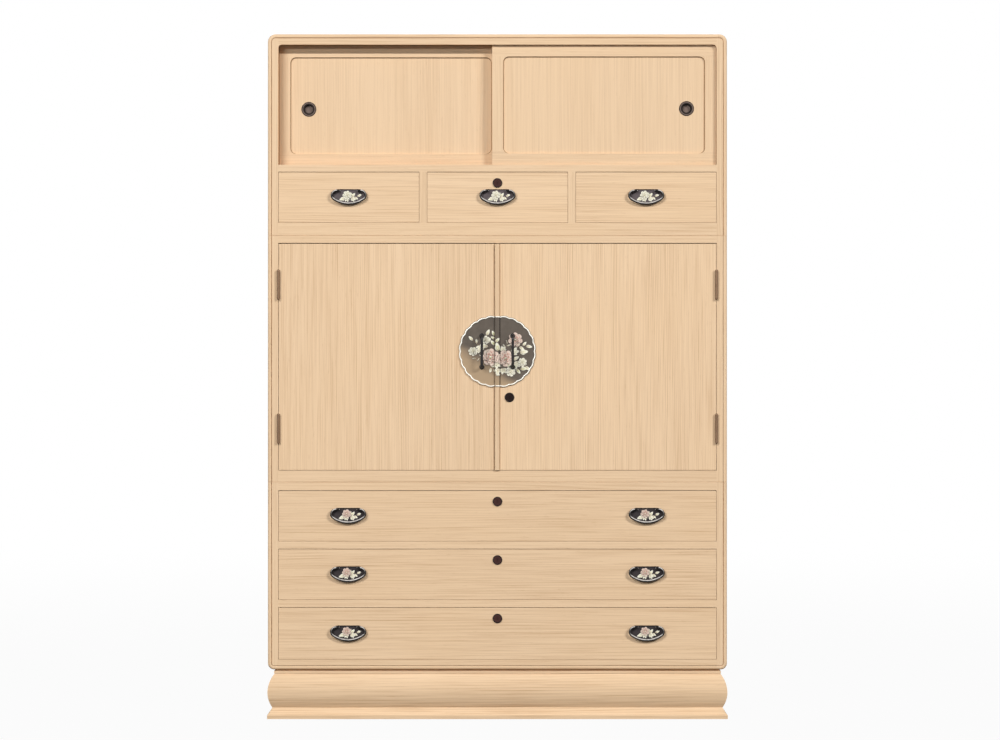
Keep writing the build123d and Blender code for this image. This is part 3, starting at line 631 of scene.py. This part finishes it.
def ringed_finish(name, centre, stops, seed):
    """A turned fitting whose colour changes with the distance from its middle."""
    recipe = Recipe(name)
    away = recipe.away(*centre)
    cloud = recipe.speckle(200, seed)
    blur = 0.6 * MM
    base = stops[0][1]
    for distance, colour in stops[1:]:
        base = recipe.mix(away.ramp(distance - blur, distance + blur), base, colour)
    base = recipe.mix(cloud * 0.3, base, GRIME)
    turning = (away * TURNING_MARKS).sine()
    return recipe.finish(base, 0.36 + cloud * 0.12, turning, 0.01 * MM, specular=0.12)


def lock_finish(node, seed):
    """Brown lacquer on a lock's face, worn darker on the door's, and black round it."""
    metal = scene_settings("chest_metal")
    worn = 0.25 if node.startswith("door") else 1.1
    stops = ((0, scaled(metal.lock, worn)), (9.8 * MM, metal.black))
    return ringed_finish(f"lock_lacquer_{node}", lock_place(node), stops, seed)


def cup_finish(node, seed):
    """A dark turned cup whose floor is lighter, with a painted highlight on its crest and painted
    shade on its wall.
    """
    bronze = scene_settings("chest_metal").cup
    # Painted light and shade: the crest is a lit copy of the bronze, the wall a shaded copy; the
    # floor is lighter
    floor, shaded_wall, crest = (scaled(bronze, share) for share in (3.0, 0.35, 3.4))
    stops = ((0, floor), (9.8 * MM, shaded_wall), (15 * MM, crest), (16.8 * MM, shaded_wall))
    return ringed_finish(f"cup_bronze_{node}", middle_of(node), stops, seed)


class CHEST_OT_metal(bpy.types.Operator):
    """Gives the plates, bails, pulls, locks, hinges and cups their metals"""

    bl_idname = "chest.metal"
    bl_label = "Metal"

    def execute(self, context):
        metal = scene_settings("chest_metal")
        for seed, node in enumerate(frame["nodes"], METAL_SEED):
            if "bail" in node:
                cover(node, bail_finish(f"black_lacquer_{node}", seed))
            elif "door_pull" in node:
                cover(node, lacquer_finish(f"black_lacquer_{node}", metal.black, seed))
            elif "fittings" in node:
                cover(node, pull_plate_finish(f"pull_plate_{node}", seed, lock_place(node)))
            elif "door_plate" in node:
                cover(node, door_plate_finish(f"door_plate_{node}", seed))
            elif "lock" in node:
                cover(node, lock_finish(node, seed))
            elif "cup" in node:
                cover(node, cup_finish(node, seed))
            elif "leaves" in node or "hinge" in node:
                cover(node, lacquer_finish(f"hinge_bronze_{node}", metal.bronze, seed, 0.4, 0.7))
        return {"FINISHED"}


# ------------ grown pieces
class Growth(Graph):
    """A Geometry Nodes tree with named inputs, ending in real geometry and a material."""

    def __init__(self, name, inputs):
        super().__init__(bpy.data.node_groups.new(name, "GeometryNodeTree"))
        face = self.tree.interface
        shape = {"Geometry": "NodeSocketGeometry"}
        for label, kind in {**shape, **inputs, "Material": "NodeSocketMaterial"}.items():
            face.new_socket(label, in_out="INPUT", socket_type=kind)
        face.new_socket("Geometry", in_out="OUTPUT", socket_type=shape["Geometry"])
        entry = self.node("NodeGroupInput", {}, {}, None)
        self.given = {socket.name: Wire(self, socket) for socket in entry.outputs if socket.name}

    def named(self, name, kind="FLOAT"):
        """A number kept on each point."""
        return self.node("GeometryNodeInputNamedAttribute", {"data_type": kind}, {"Name": name})

    def end(self, geometry):
        """Makes the geometry real and smooth, gives it the material and closes the tree."""
        whole = self.node("GeometryNodeRealizeInstances", {}, {"Geometry": geometry})
        smooth = self.node("GeometryNodeSetShadeSmooth", {}, {0: whole})
        coat = {"Geometry": smooth, "Material": self.given["Material"]}
        coated = self.node("GeometryNodeSetMaterial", {}, coat)
        self.node("NodeGroupOutput", {}, {"Geometry": coated}, None)
        return self.tree


def grown(name, seed_mesh, tree, **values):
    """Runs a tree on a mesh of points or edges and keeps what it makes as a plain mesh."""
    piece = placed(name, seed_mesh)
    modifier = piece.modifiers.new("growth", "NODES")
    modifier.node_group = tree
    for item in tree.interface.items_tree:
        if item.in_out == "INPUT" and item.name in values:
            modifier[item.identifier] = values[item.name]
    ready = piece.evaluated_get(bpy.context.evaluated_depsgraph_get())
    made = bpy.data.meshes.new_from_object(ready)
    piece.modifiers.clear()
    piece.data = made
    made.name = name
    bpy.data.meshes.remove(seed_mesh)
    if not made.polygons:
        raise RuntimeError(f"{name} came out empty")
    return piece


# ------------ rims
def rim_tree():
    """A round bead along a line of edges, closed at its ends."""
    growth = Growth("rim_bead", {"Bead Radius": "NodeSocketFloat"})
    line = growth.node("GeometryNodeMeshToCurve", {}, {"Mesh": growth.given["Geometry"]})
    circle = {"Resolution": 10, "Radius": growth.given["Bead Radius"]}
    section = growth.node("GeometryNodeCurvePrimitiveCircle", {}, circle)
    swept = {"Curve": line, "Profile Curve": section, "Fill Caps": True}
    return growth.end(growth.node("GeometryNodeCurveToMesh", {}, swept))


def scalloped_arc(side, edge_x, centre_z, radius, y):
    """Points along one half of the plate's scalloped rim, from its foot to its head."""
    rim = scene_settings("chest_rim")
    steps = 14
    points = []
    for k in range(rim.lobes * steps + 1):
        crest = math.sin(math.pi * (k % steps) / steps)
        reach = radius - rim.lobe_depth * (1 - crest)
        angle = math.pi * (k / (rim.lobes * steps) - 0.5)
        x = edge_x + side * reach * math.cos(angle)
        points.append((x, y, centre_z + reach * math.sin(angle)))
    return points


def rim_finish():
    """Worn silver for the rim's bead."""
    metal = scene_settings("chest_metal")
    recipe = Recipe("silver_rim")
    cloud = recipe.speckle(160, 61)
    base = recipe.mix(cloud.ramp(0.3, 0.8) * 0.4, metal.silver, scaled(metal.silver, 0.78))
    return recipe.finish(base, 0.34 + cloud * 0.12, cloud, 0.04 * MM, metallic=0.25)


class CHEST_OT_rims(bpy.types.Operator):
    """Lays the bright scalloped bead round the door plate"""

    bl_idname = "chest.rims"
    bl_label = "Plate rims"

    def execute(self, context):
        rim = scene_settings("chest_rim")
        tree = rim_tree()
        values = {"Bead Radius": rim.bead, "Material": rim_finish()}
        z = plate_centre()[1]
        low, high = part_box("left_door_plate")
        radius = high.x - low.x - rim.bead * 1.15
        rim_y = low.y - rim.bead * 0.25
        right_edge = span("right_door_plate")[1] - (high.x - low.x)
        strip_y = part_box("right_door_plate")[0].y
        strip_low, strip_high = span("door_batten")
        runs = {
            "left_door_rim": ("left_door", scalloped_arc(-1, high.x, z, radius, rim_y)),
            "right_door_rim": ("right_door", scalloped_arc(1, right_edge, z, radius, rim_y)),
        }
        reach = radius - rim.lobe_depth * 0.6
        for place, level in (("head", z + reach), ("foot", z - reach)):
            run = [
                (strip_low + rim.bead, strip_y, level),
                (strip_low + 4 * MM, strip_y, level),
                (strip_high - 4 * MM, strip_y, level),
                (strip_high - 1.6 * MM, strip_y + 1.3 * MM, level),
            ]
            runs[f"batten_rim_{place}"] = ("right_door", run)
        for name, (body, points) in runs.items():
            edges = [(k, k + 1) for k in range(len(points) - 1)]
            bead = grown(name, mesh_of("rim_line", points, edges), tree, **values)
            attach(bead, body)
        return {"FINISHED"}


# ------------ flower relief
def swell(share, power=1.0):
    """A smooth hump from 0 through 1 and back to 0."""
    return max(math.sin(math.pi * min(max(share, 0.0), 1.0)), 0.0) ** power


# Each shape is one unit long from its foot upwards: half its width and its height, by how
# far along it is (0 to 1) and how far out from its middle line (-1 to 1). Their names sort in
# the order of the kinds below, by which the tree picks them.
RELIEF_SHAPES = {
    "a_petal": (
        lambda u: 0.07 + 0.43 * swell(u**0.75, 0.62) * (0.62 + 0.38 * u),
        lambda u, v: 0.30 + 0.45 * u + 0.25 * abs(v) ** 2 - 0.18 * swell(u) * (1 - abs(v)),
    ),
    "b_leaf": (
        lambda u: 0.02 + 0.235 * swell(u**0.85, 0.85),
        lambda u, v: 0.28 + 0.62 * swell(abs(v) * 0.82 + 0.04, 0.8) * (0.5 + 0.5 * swell(u, 0.5)),
    ),
    "c_boss": (
        lambda u: 0.02 + 0.48 * swell(u, 0.5),
        lambda u, v: 0.25 + 1.05 * swell(u, 0.6) * (1 - v * v) ** 0.5,
    ),
    "d_blade": (
        lambda u: 0.02 + 0.10 * swell(u**0.7, 0.9),
        lambda u, v: 0.25 + 0.5 * (1 - abs(v)) * swell(u, 0.5),
    ),
    "e_stem": (
        lambda u: 0.035 + 0.01 * (1 - u),
        lambda u, v: 0.18 + 0.3 * (1 - v * v),
    ),
}
PETAL, LEAF, BOSS, BLADE, STEM = range(5)
CREAM, ROSE, GREEN, GOLD = range(4)
HEART_SHADE = (0.30, 0.17, 0.10)
WORN_GOLD = (0.45, 0.33, 0.2)
Sprig = namedtuple("Sprig", "kind x z lift turn size tint")

# What a spray is laid out from, with places and sizes in millimetres from its middle.
Branch = namedtuple("Branch", "x z heading length leaf count bend tint kind", defaults=(LEAF,))
Fan = namedtuple("Fan", "x z heading leaf count spread tint")
Bloom = namedtuple("Bloom", "x z radius tint turn lift")
GARLAND = (
    Branch(-20, 4, -1.25, 50, 17, 4, 0.5, CREAM),
    Branch(-24, 12, -0.45, 30, 20, 3, 0.9, CREAM),
    Branch(-6, 16, 0.1, 24, 17, 3, -0.5, GREEN),
    Branch(22, 8, 0.25, 18, 14, 3, 0.4, CREAM, BLADE),
    Branch(48, 10, 1.25, 26, 19, 3, 0.5, CREAM),
    Branch(40, -22, 1.9, 36, 18, 4, 0.4, CREAM),
    Branch(20, -38, 1.95, 40, 21, 4, -0.5, GREEN),
    Branch(-18, -34, 2.9, 26, 15, 3, -0.9, CREAM),
    Branch(-30, -12, -1.9, 26, 12, 3, 0.3, CREAM, BLADE),
    Fan(-40, 2, -0.5, 20, 4, 0.9, CREAM),
    Fan(-46, 4, -2.1, 15, 3, 0.7, CREAM),
    Fan(-4, -30, 2.6, 19, 4, 1.1, CREAM),
    Fan(14, 0, 0.1, 17, 4, 0.9, CREAM),
    Fan(38, -4, 1.0, 22, 4, 0.9, CREAM),
    Fan(42, -30, 2.4, 22, 4, 1.0, CREAM),
    Fan(14, -44, 2.9, 18, 4, 1.1, CREAM),
    Fan(58, -2, 1.5, 22, 3, 0.5, CREAM),
    Fan(2, -44, 3.3, 20, 3, 0.8, CREAM),
    Fan(2, 2, -0.2, 22, 3, 0.5, GREEN),
    Bloom(-63, 0, 12, CREAM, 0.4, 0.2),
    Bloom(-30, 30, 11, CREAM, 0.1, 0.2),
    Bloom(-18, -15, 23, ROSE, 0.2, 0.3),
    Bloom(21, -18, 22, ROSE, 0.5, 0.3),
    Bloom(46, 30, 19, ROSE, 0.0, 0.3),
    Bloom(64, -28, 12, CREAM, 0.3, 0.2),
    Bloom(34, -52, 13, CREAM, 0.2, 0.2),
)
POSY_LEAVES = (
    Fan(-9, -2, -1.9, 17, 3, 0.40, CREAM),
    Fan(-4, -1, 3.3, 13.5, 4, 0.9, CREAM),
    Fan(7, -1, 2.3, 15, 4, 0.7, CREAM),
    Branch(8, 0, 1.5, 14, 14, 2, -0.3, CREAM),
    Fan(4, 5, 0.9, 12, 2, 0.35, GREEN),
)


def relief_shape(name, half_width, height, enamel):
    """A closed raised shape that faces -Y, with its back sunk a little past the XZ plane."""
    rows, columns = 7, 6
    sunk = 0.25
    vertices, tips, sides = [], [], []
    for row in range(rows + 1):
        u = row / rows
        for column in range(columns + 1):
            v = 2 * column / columns - 1
            vertices.append((v * half_width(u), -height(u, v), u))
            tips.append(u)
            sides.append(abs(v))
    width = columns + 1
    faces = [
        (r * width + c, r * width + c + 1, (r + 1) * width + c + 1, (r + 1) * width + c)
        for r in range(rows)
        for c in range(columns)
    ]
    rim = [*range(width)]
    rim += [r * width + columns for r in range(1, rows + 1)]
    rim += [rows * width + c for c in range(columns - 1, -1, -1)]
    rim += [r * width for r in range(rows - 1, 0, -1)]
    first = len(vertices)
    for corner in rim:
        x, _, z = vertices[corner]
        vertices.append((x, sunk, z))
        tips.append(tips[corner])
        sides.append(sides[corner])
    count = len(rim)
    for k in range(count):
        after = (k + 1) % count
        faces.append((rim[k], first + k, first + after, rim[after]))
    faces.append(tuple(first + k for k in reversed(range(count))))
    data = mesh_of(name, vertices, faces=faces)
    for label, values in (("tip", tips), ("side", sides)):
        data.attributes.new(label, "FLOAT", "POINT").data.foreach_set("value", values)
    shell = bmesh.new()
    shell.from_mesh(data)
    bmesh.ops.recalc_face_normals(shell, faces=shell.faces)
    shell.to_mesh(data)
    shell.free()
    data.materials.append(enamel)
    return bpy.data.objects.new(name, data)


def relief_tree():
    """Sets a shape on each point, by the point's own kind, turn and size."""
    growth = Growth("flower_relief", {"Shapes": "NodeSocketCollection", "Rise": "NodeSocketFloat"})
    shapes = growth.given["Shapes"]
    listed = {"Collection": shapes, "Separate Children": True, "Reset Children": True}
    turn = growth.node("ShaderNodeCombineXYZ", {}, {"Y": growth.named("turn")})
    size = growth.named("size")
    scale = {"X": size, "Y": growth.given["Rise"], "Z": size}
    sprigs = {
        "Points": growth.given["Geometry"],
        "Instance": growth.node("GeometryNodeCollectionInfo", {}, listed),
        "Pick Instance": True,
        "Instance Index": growth.named("kind", "INT"),
        "Rotation": growth.node("FunctionNodeEulerToRotation", {}, {0: turn}),
        "Scale": growth.node("ShaderNodeCombineXYZ", {}, scale),
    }
    return growth.end(growth.node("GeometryNodeInstanceOnPoints", {}, sprigs))


def points_mesh(sprigs, y):
    """A mesh of loose points that carries each sprig's kind, turn, size and tint."""
    data = mesh_of("sprig_points", [(s.x, y - s.lift, s.z) for s in sprigs])
    kinds = data.attributes.new("kind", "INT", "POINT")
    kinds.data.foreach_set("value", [s.kind for s in sprigs])
    for label in ("turn", "size", "tint"):
        values = [float(getattr(s, label)) for s in sprigs]
        data.attributes.new(label, "FLOAT", "POINT").data.foreach_set("value", values)
    return data


def blossom(x, z, plan):
    """A double blossom: an outer, a middle and an inner ring of petals round a boss."""
    radius, lift = plan.radius * MM, plan.lift * MM
    step = 0.65 * MM
    sprigs = []
    for ring, (count, share) in enumerate(((7, 1.0), (5, 0.74), (4, 0.48))):
        foot = radius * 0.10 * share
        for k in range(count):
            angle = plan.turn + 2 * math.pi * (k + 0.5 * ring) / count
            petal_x, petal_z = x + foot * math.sin(angle), z + foot * math.cos(angle)
            rise = lift + step * (ring + 0.12 * (k % 2))
            size = radius * share * 0.92
            sprigs.append(Sprig(PETAL, petal_x, petal_z, rise, angle, size, plan.tint))
    size = radius * 0.30
    sprigs.append(Sprig(BOSS, x, z - size / 2, lift + step * 2.6, 0.0, size, GREEN))
    return sprigs


def leaf_fan(x, z, plan):
    """Leaves that open from one foot round a heading."""
    sprigs = []
    for k in range(plan.count):
        share = k / (plan.count - 1) - 0.5
        size = plan.leaf * MM * (1.0 - 0.35 * abs(share) * 2)
        turn = plan.heading + share * 2 * plan.spread
        sprigs.append(Sprig(LEAF, x, z, 0.15 * MM * (k % 2), turn, size, plan.tint))
    return sprigs


def branch(x, z, plan):
    """A bending stem with leaves by turns on its two sides and one at its tip."""
    step = plan.length * MM / plan.count
    leaf = plan.leaf * MM
    heading = plan.heading
    sprigs = []
    for k in range(plan.count):
        side = 1 if k % 2 else -1
        size = leaf * (1 - 0.35 * k / plan.count)
        sprigs.append(Sprig(STEM, x, z, 0.0, heading, step * 1.15, GOLD))
        sprigs.append(Sprig(plan.kind, x, z, 0.1 * MM, heading + side * 0.85, size, plan.tint))
        x += step * math.sin(heading)
        z += step * math.cos(heading)
        heading += plan.bend / plan.count
    sprigs.append(Sprig(plan.kind, x, z, 0.15 * MM, heading, leaf * 0.9, plan.tint))
    return sprigs


def spray(layout, x, z):
    """The sprigs of a layout, set round its middle."""
    makers = {Branch: branch, Fan: leaf_fan, Bloom: blossom}
    sprigs = []
    for plan in layout:
        sprigs += makers[type(plan)](x + plan.x * MM, z + plan.z * MM, plan)
    return sprigs


def enamel_finish():
    """Satin enamel whose colour goes by each shape's tint and by where on it a place is."""
    relief = scene_settings("chest_relief")
    recipe = Recipe("flower_enamel")
    tint = recipe.attribute("tint")
    tip = recipe.attribute("tip")
    side = recipe.attribute("side")
    base = relief.cream
    for step, colour in enumerate((relief.rose, relief.leaf, relief.stem)):
        base = recipe.mix(tint > step + 0.5, base, colour)
    cloud = recipe.speckle(260, 71)
    heart = (1.0 - tip).ramp(0.35, 0.95) * 0.55
    base = recipe.mix(heart, base, HEART_SHADE)
    out = side.most(tip)
    pink = (abs(tint - ROSE) < 0.5) * 0.35
    border = out.ramp(0.45, 0.75) * (tint < GREEN + 0.5) * (1.0 - pink)
    base = recipe.mix(border * (0.55 + cloud * 0.5), base, relief.edge)
    base = recipe.mix(cloud.ramp(0.55, 0.85) * 0.25, base, WORN_GOLD)
    base = recipe.mix(out.ramp(0.88, 0.99) * 0.75, base, relief.outline)
    vein = (side * 26.0 + tip * 9.0).sine()
    return recipe.finish(base, 0.36 + cloud * 0.15, vein, 0.08 * MM, specular=0.4)


def cut_between(piece, name, x0, x1):
    """A closed copy of the part of a piece that lies between two upright planes."""
    shell = bmesh.new()
    shell.from_mesh(piece.data)
    for x, keep_side in ((x0, 1), (x1, -1)):
        bmesh.ops.bisect_plane(
            shell,
            geom=[*shell.verts, *shell.edges, *shell.faces],
            plane_co=(x, 0, 0),
            plane_no=(-keep_side, 0, 0),
            clear_outer=True,
        )
        open_edges = [edge for edge in shell.edges if edge.is_boundary]
        bmesh.ops.holes_fill(shell, edges=open_edges, sides=0)
    data = bpy.data.meshes.new(name)
    shell.to_mesh(data)
    shell.free()
    data.materials.append(piece.data.materials[0])
    return placed(name, data)


def lay_on_strip(part):
    """Lifts a part from the plate's ground on to the batten's strip, and down its fall."""
    fall_width, fall_depth = 4.4 * MM, 1.7 * MM
    flat_end = span("door_batten")[1] - fall_width
    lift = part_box("right_door_plate")[0].y - PULL_GROUND
    for vertex in part.data.vertices:
        share = max(vertex.co.x - flat_end, 0.0) / fall_width
        vertex.co.y += lift + fall_depth * min(share, 1.0) ** 2


class CHEST_OT_relief(bpy.types.Operator):
    """Sets the flower relief on the door plate and on every drawer pull"""

    bl_idname = "chest.relief"
    bl_label = "Flower relief"

    def execute(self, context):
        relief = scene_settings("chest_relief")
        enamel = enamel_finish()
        shapes = bpy.data.collections.new("relief_shapes")
        for name, (half_width, height) in RELIEF_SHAPES.items():
            shapes.objects.link(relief_shape(name, half_width, height, enamel))
        values = {"Shapes": shapes, "Rise": relief.rise, "Material": enamel}
        tree = relief_tree()
        for drawer in drawer_names():
            tint = CREAM if drawer.startswith("upper") else ROSE
            layout = (*POSY_LEAVES, Bloom(-4, 5, 12, tint, 0.2, 0.25))
            sprigs = []
            for name, joint in JOINTS.items():
                if name.startswith(drawer) and "bail" in name:
                    x, _, z = joint["pos_m"]
                    sprigs += spray(layout, x, z - PULL_DROP)
            piece = grown(f"{drawer}_posy", points_mesh(sprigs, PULL_GROUND), tree, **values)
            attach(piece, f"{drawer}_drawer")
        sprigs = spray(GARLAND, *plate_centre())
        whole = grown("door_garland", points_mesh(sprigs, PULL_GROUND), tree, **values)
        strip_low, strip_high = span("door_batten")
        past_plate = 0.2
        cuts = {
            "left_garland": ("left_door", -past_plate, span("left_door_plate")[1]),
            "strip_garland": ("right_door", strip_low, strip_high - 0.4 * MM),
            "right_garland": ("right_door", strip_high + 0.3 * MM, past_plate),
        }
        for name, (body, x0, x1) in cuts.items():
            part = cut_between(whole, name, x0, x1)
            if name == "strip_garland":
                lay_on_strip(part)
            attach(part, body)
        bpy.data.objects.remove(whole)
        for shape in list(shapes.objects):
            bpy.data.objects.remove(shape)
        bpy.data.collections.remove(shapes)
        return {"FINISHED"}


# ------------ studio
AIM_HEIGHT = 0.9
# Each lamp's place, its length and height, and the setting that holds its power.
LAMPS = {
    "right_light": ((10.4, -9.2, 8.1), 5.6, 0.38, "right_power"),
    "left_light": ((-6.2, -9.2, 8.1), 6.5, 0.38, "left_power"),
    "low_light": ((-6.2, -9.2, 4.2), 6.5, 0.3, "low_power"),
    "back_light": ((0, 6.0, 5.0), 4.0, 2.0, "back_power"),
}


def shows_white(graph):
    """1 for what the camera and reflections see, and 0 for what only lights the chest."""
    path = graph.node("ShaderNodeLightPath", {}, {}, None)
    seen = Wire(graph, path.outputs["Is Camera Ray"])
    for ray in ("Is Glossy Ray", "Is Transmission Ray"):
        seen = seen.most(Wire(graph, path.outputs[ray]))
    return seen


def strip_light(name, place, length, height, power):
    """A long area light parallel to X, tilted towards the chest's front."""
    lamp = bpy.data.lights.new(name, "AREA")
    lamp.shape = "RECTANGLE"
    lamp.size, lamp.size_y, lamp.energy = length, height, power
    holder = placed(name, lamp)
    holder.location = place
    aim = Vector((place[0], FRONT, AIM_HEIGHT)) - holder.location
    holder.rotation_euler = aim.to_track_quat("-Z", "Y").to_euler()


def paper_floor(studio):
    """A sheet of pale paper that keeps the chest's shadow and fades to white far off."""
    reach = 60.0
    signs = ((-1, -1), (1, -1), (1, 1), (-1, 1))
    corners = [(x * reach, y * reach, FLOOR) for x, y in signs]
    data = mesh_of("floor", corners, faces=[(0, 1, 2, 3)])
    floor = placed("floor", data)
    recipe = Recipe("floor_paper")
    paper = recipe.mix(recipe.speckle(3, 1, 2.0), studio.floor, scaled(studio.floor, 0.97))
    matt = recipe.node("ShaderNodeBsdfDiffuse", {}, {"Color": paper})
    glow = recipe.node("ShaderNodeEmission", {}, {"Color": (1, 1, 1, 1), "Strength": 1.0})
    near_share = 0.96
    far = (recipe.x * recipe.x + recipe.y * recipe.y).root().ramp(1.5, 7.0)
    white = shows_white(recipe) * (near_share + far * (1.0 - near_share))
    shown = recipe.node("ShaderNodeMixShader", {}, {"Fac": white, 1: matt, 2: glow})
    recipe.node("ShaderNodeOutputMaterial", {}, {"Surface": shown}, None)
    data.materials.append(recipe.material)


def even_world(studio):
    """Even light from all round, seen as white."""
    world = bpy.data.worlds.new("even_light")
    world.use_nodes = True
    bpy.context.scene.world = world
    world.node_tree.nodes.clear()
    graph = Graph(world.node_tree)
    levels = {"Value": shows_white(graph), "To Min": studio.ambient, "To Max": 1.0}
    strength = graph.node("ShaderNodeMapRange", {}, levels)
    sky = graph.node("ShaderNodeBackground", {}, {"Color": (1, 1, 1, 1), "Strength": strength})
    graph.node("ShaderNodeOutputWorld", {}, {"Surface": sky}, None)


def front_camera(studio):
    """A long lens square to the chest's front."""
    camera = bpy.data.cameras.new("front_camera")
    camera.sensor_width = 36.0
    camera.lens = camera.sensor_width * studio.camera_distance / studio.view_width
    camera.clip_end = 200.0
    viewer = placed("front_camera", camera)
    viewer.location = (studio.camera_side, FRONT - studio.camera_distance, studio.camera_height)
    viewer.rotation_euler = (math.pi / 2, 0, 0)
    bpy.context.scene.camera = viewer


class CHEST_OT_studio(bpy.types.Operator):
    """Builds the floor, the lights and the camera"""

    bl_idname = "chest.studio"
    bl_label = "Studio"

    def execute(self, context):
        studio = scene_settings("chest_studio")
        paper_floor(studio)
        even_world(studio)
        for name, (place, length, height, power) in LAMPS.items():
            strip_light(name, place, length, height, getattr(studio, power))
        front_camera(studio)
        context.scene.view_settings.view_transform = "Standard"
        return {"FINISHED"}


# ------------ panel and registration
class CHEST_PT_maker(bpy.types.Panel):
    """Lists the steps that finish the chest"""

    bl_label = "Kimono Chest"
    bl_idname = "CHEST_PT_maker"
    bl_space_type = "VIEW_3D"
    bl_region_type = "UI"
    bl_category = "Chest"

    def draw(self, context):
        for group in GROUPS:
            box = self.layout.box()
            settings = scene_settings(group)
            for key in settings.__annotations__:
                box.prop(settings, key)
        for step in STEPS:
            self.layout.operator(step.bl_idname)


GROUPS = {
    "chest_wood": WoodFinish,
    "chest_metal": MetalFinish,
    "chest_rim": RimSettings,
    "chest_relief": ReliefSettings,
    "chest_studio": StudioSettings,
}
STEPS = (CHEST_OT_boards, CHEST_OT_metal, CHEST_OT_rims, CHEST_OT_relief, CHEST_OT_studio)


def register():
    """Registers the classes and hangs the settings on the scene."""
    for kind in (*GROUPS.values(), *STEPS, CHEST_PT_maker):
        bpy.utils.register_class(kind)
    for name, kind in GROUPS.items():
        setattr(bpy.types.Scene, name, PointerProperty(type=kind))


def unregister():
    """Takes back what register did."""
    for name in GROUPS:
        delattr(bpy.types.Scene, name)
    for kind in reversed((*GROUPS.values(), *STEPS, CHEST_PT_maker)):
        bpy.utils.unregister_class(kind)


def main():
    """Runs every step in order."""
    register()
    for step in STEPS:
        group, name = step.bl_idname.split(".")
        getattr(getattr(bpy.ops, group), name)()


if __name__ == "__main__":
    main()
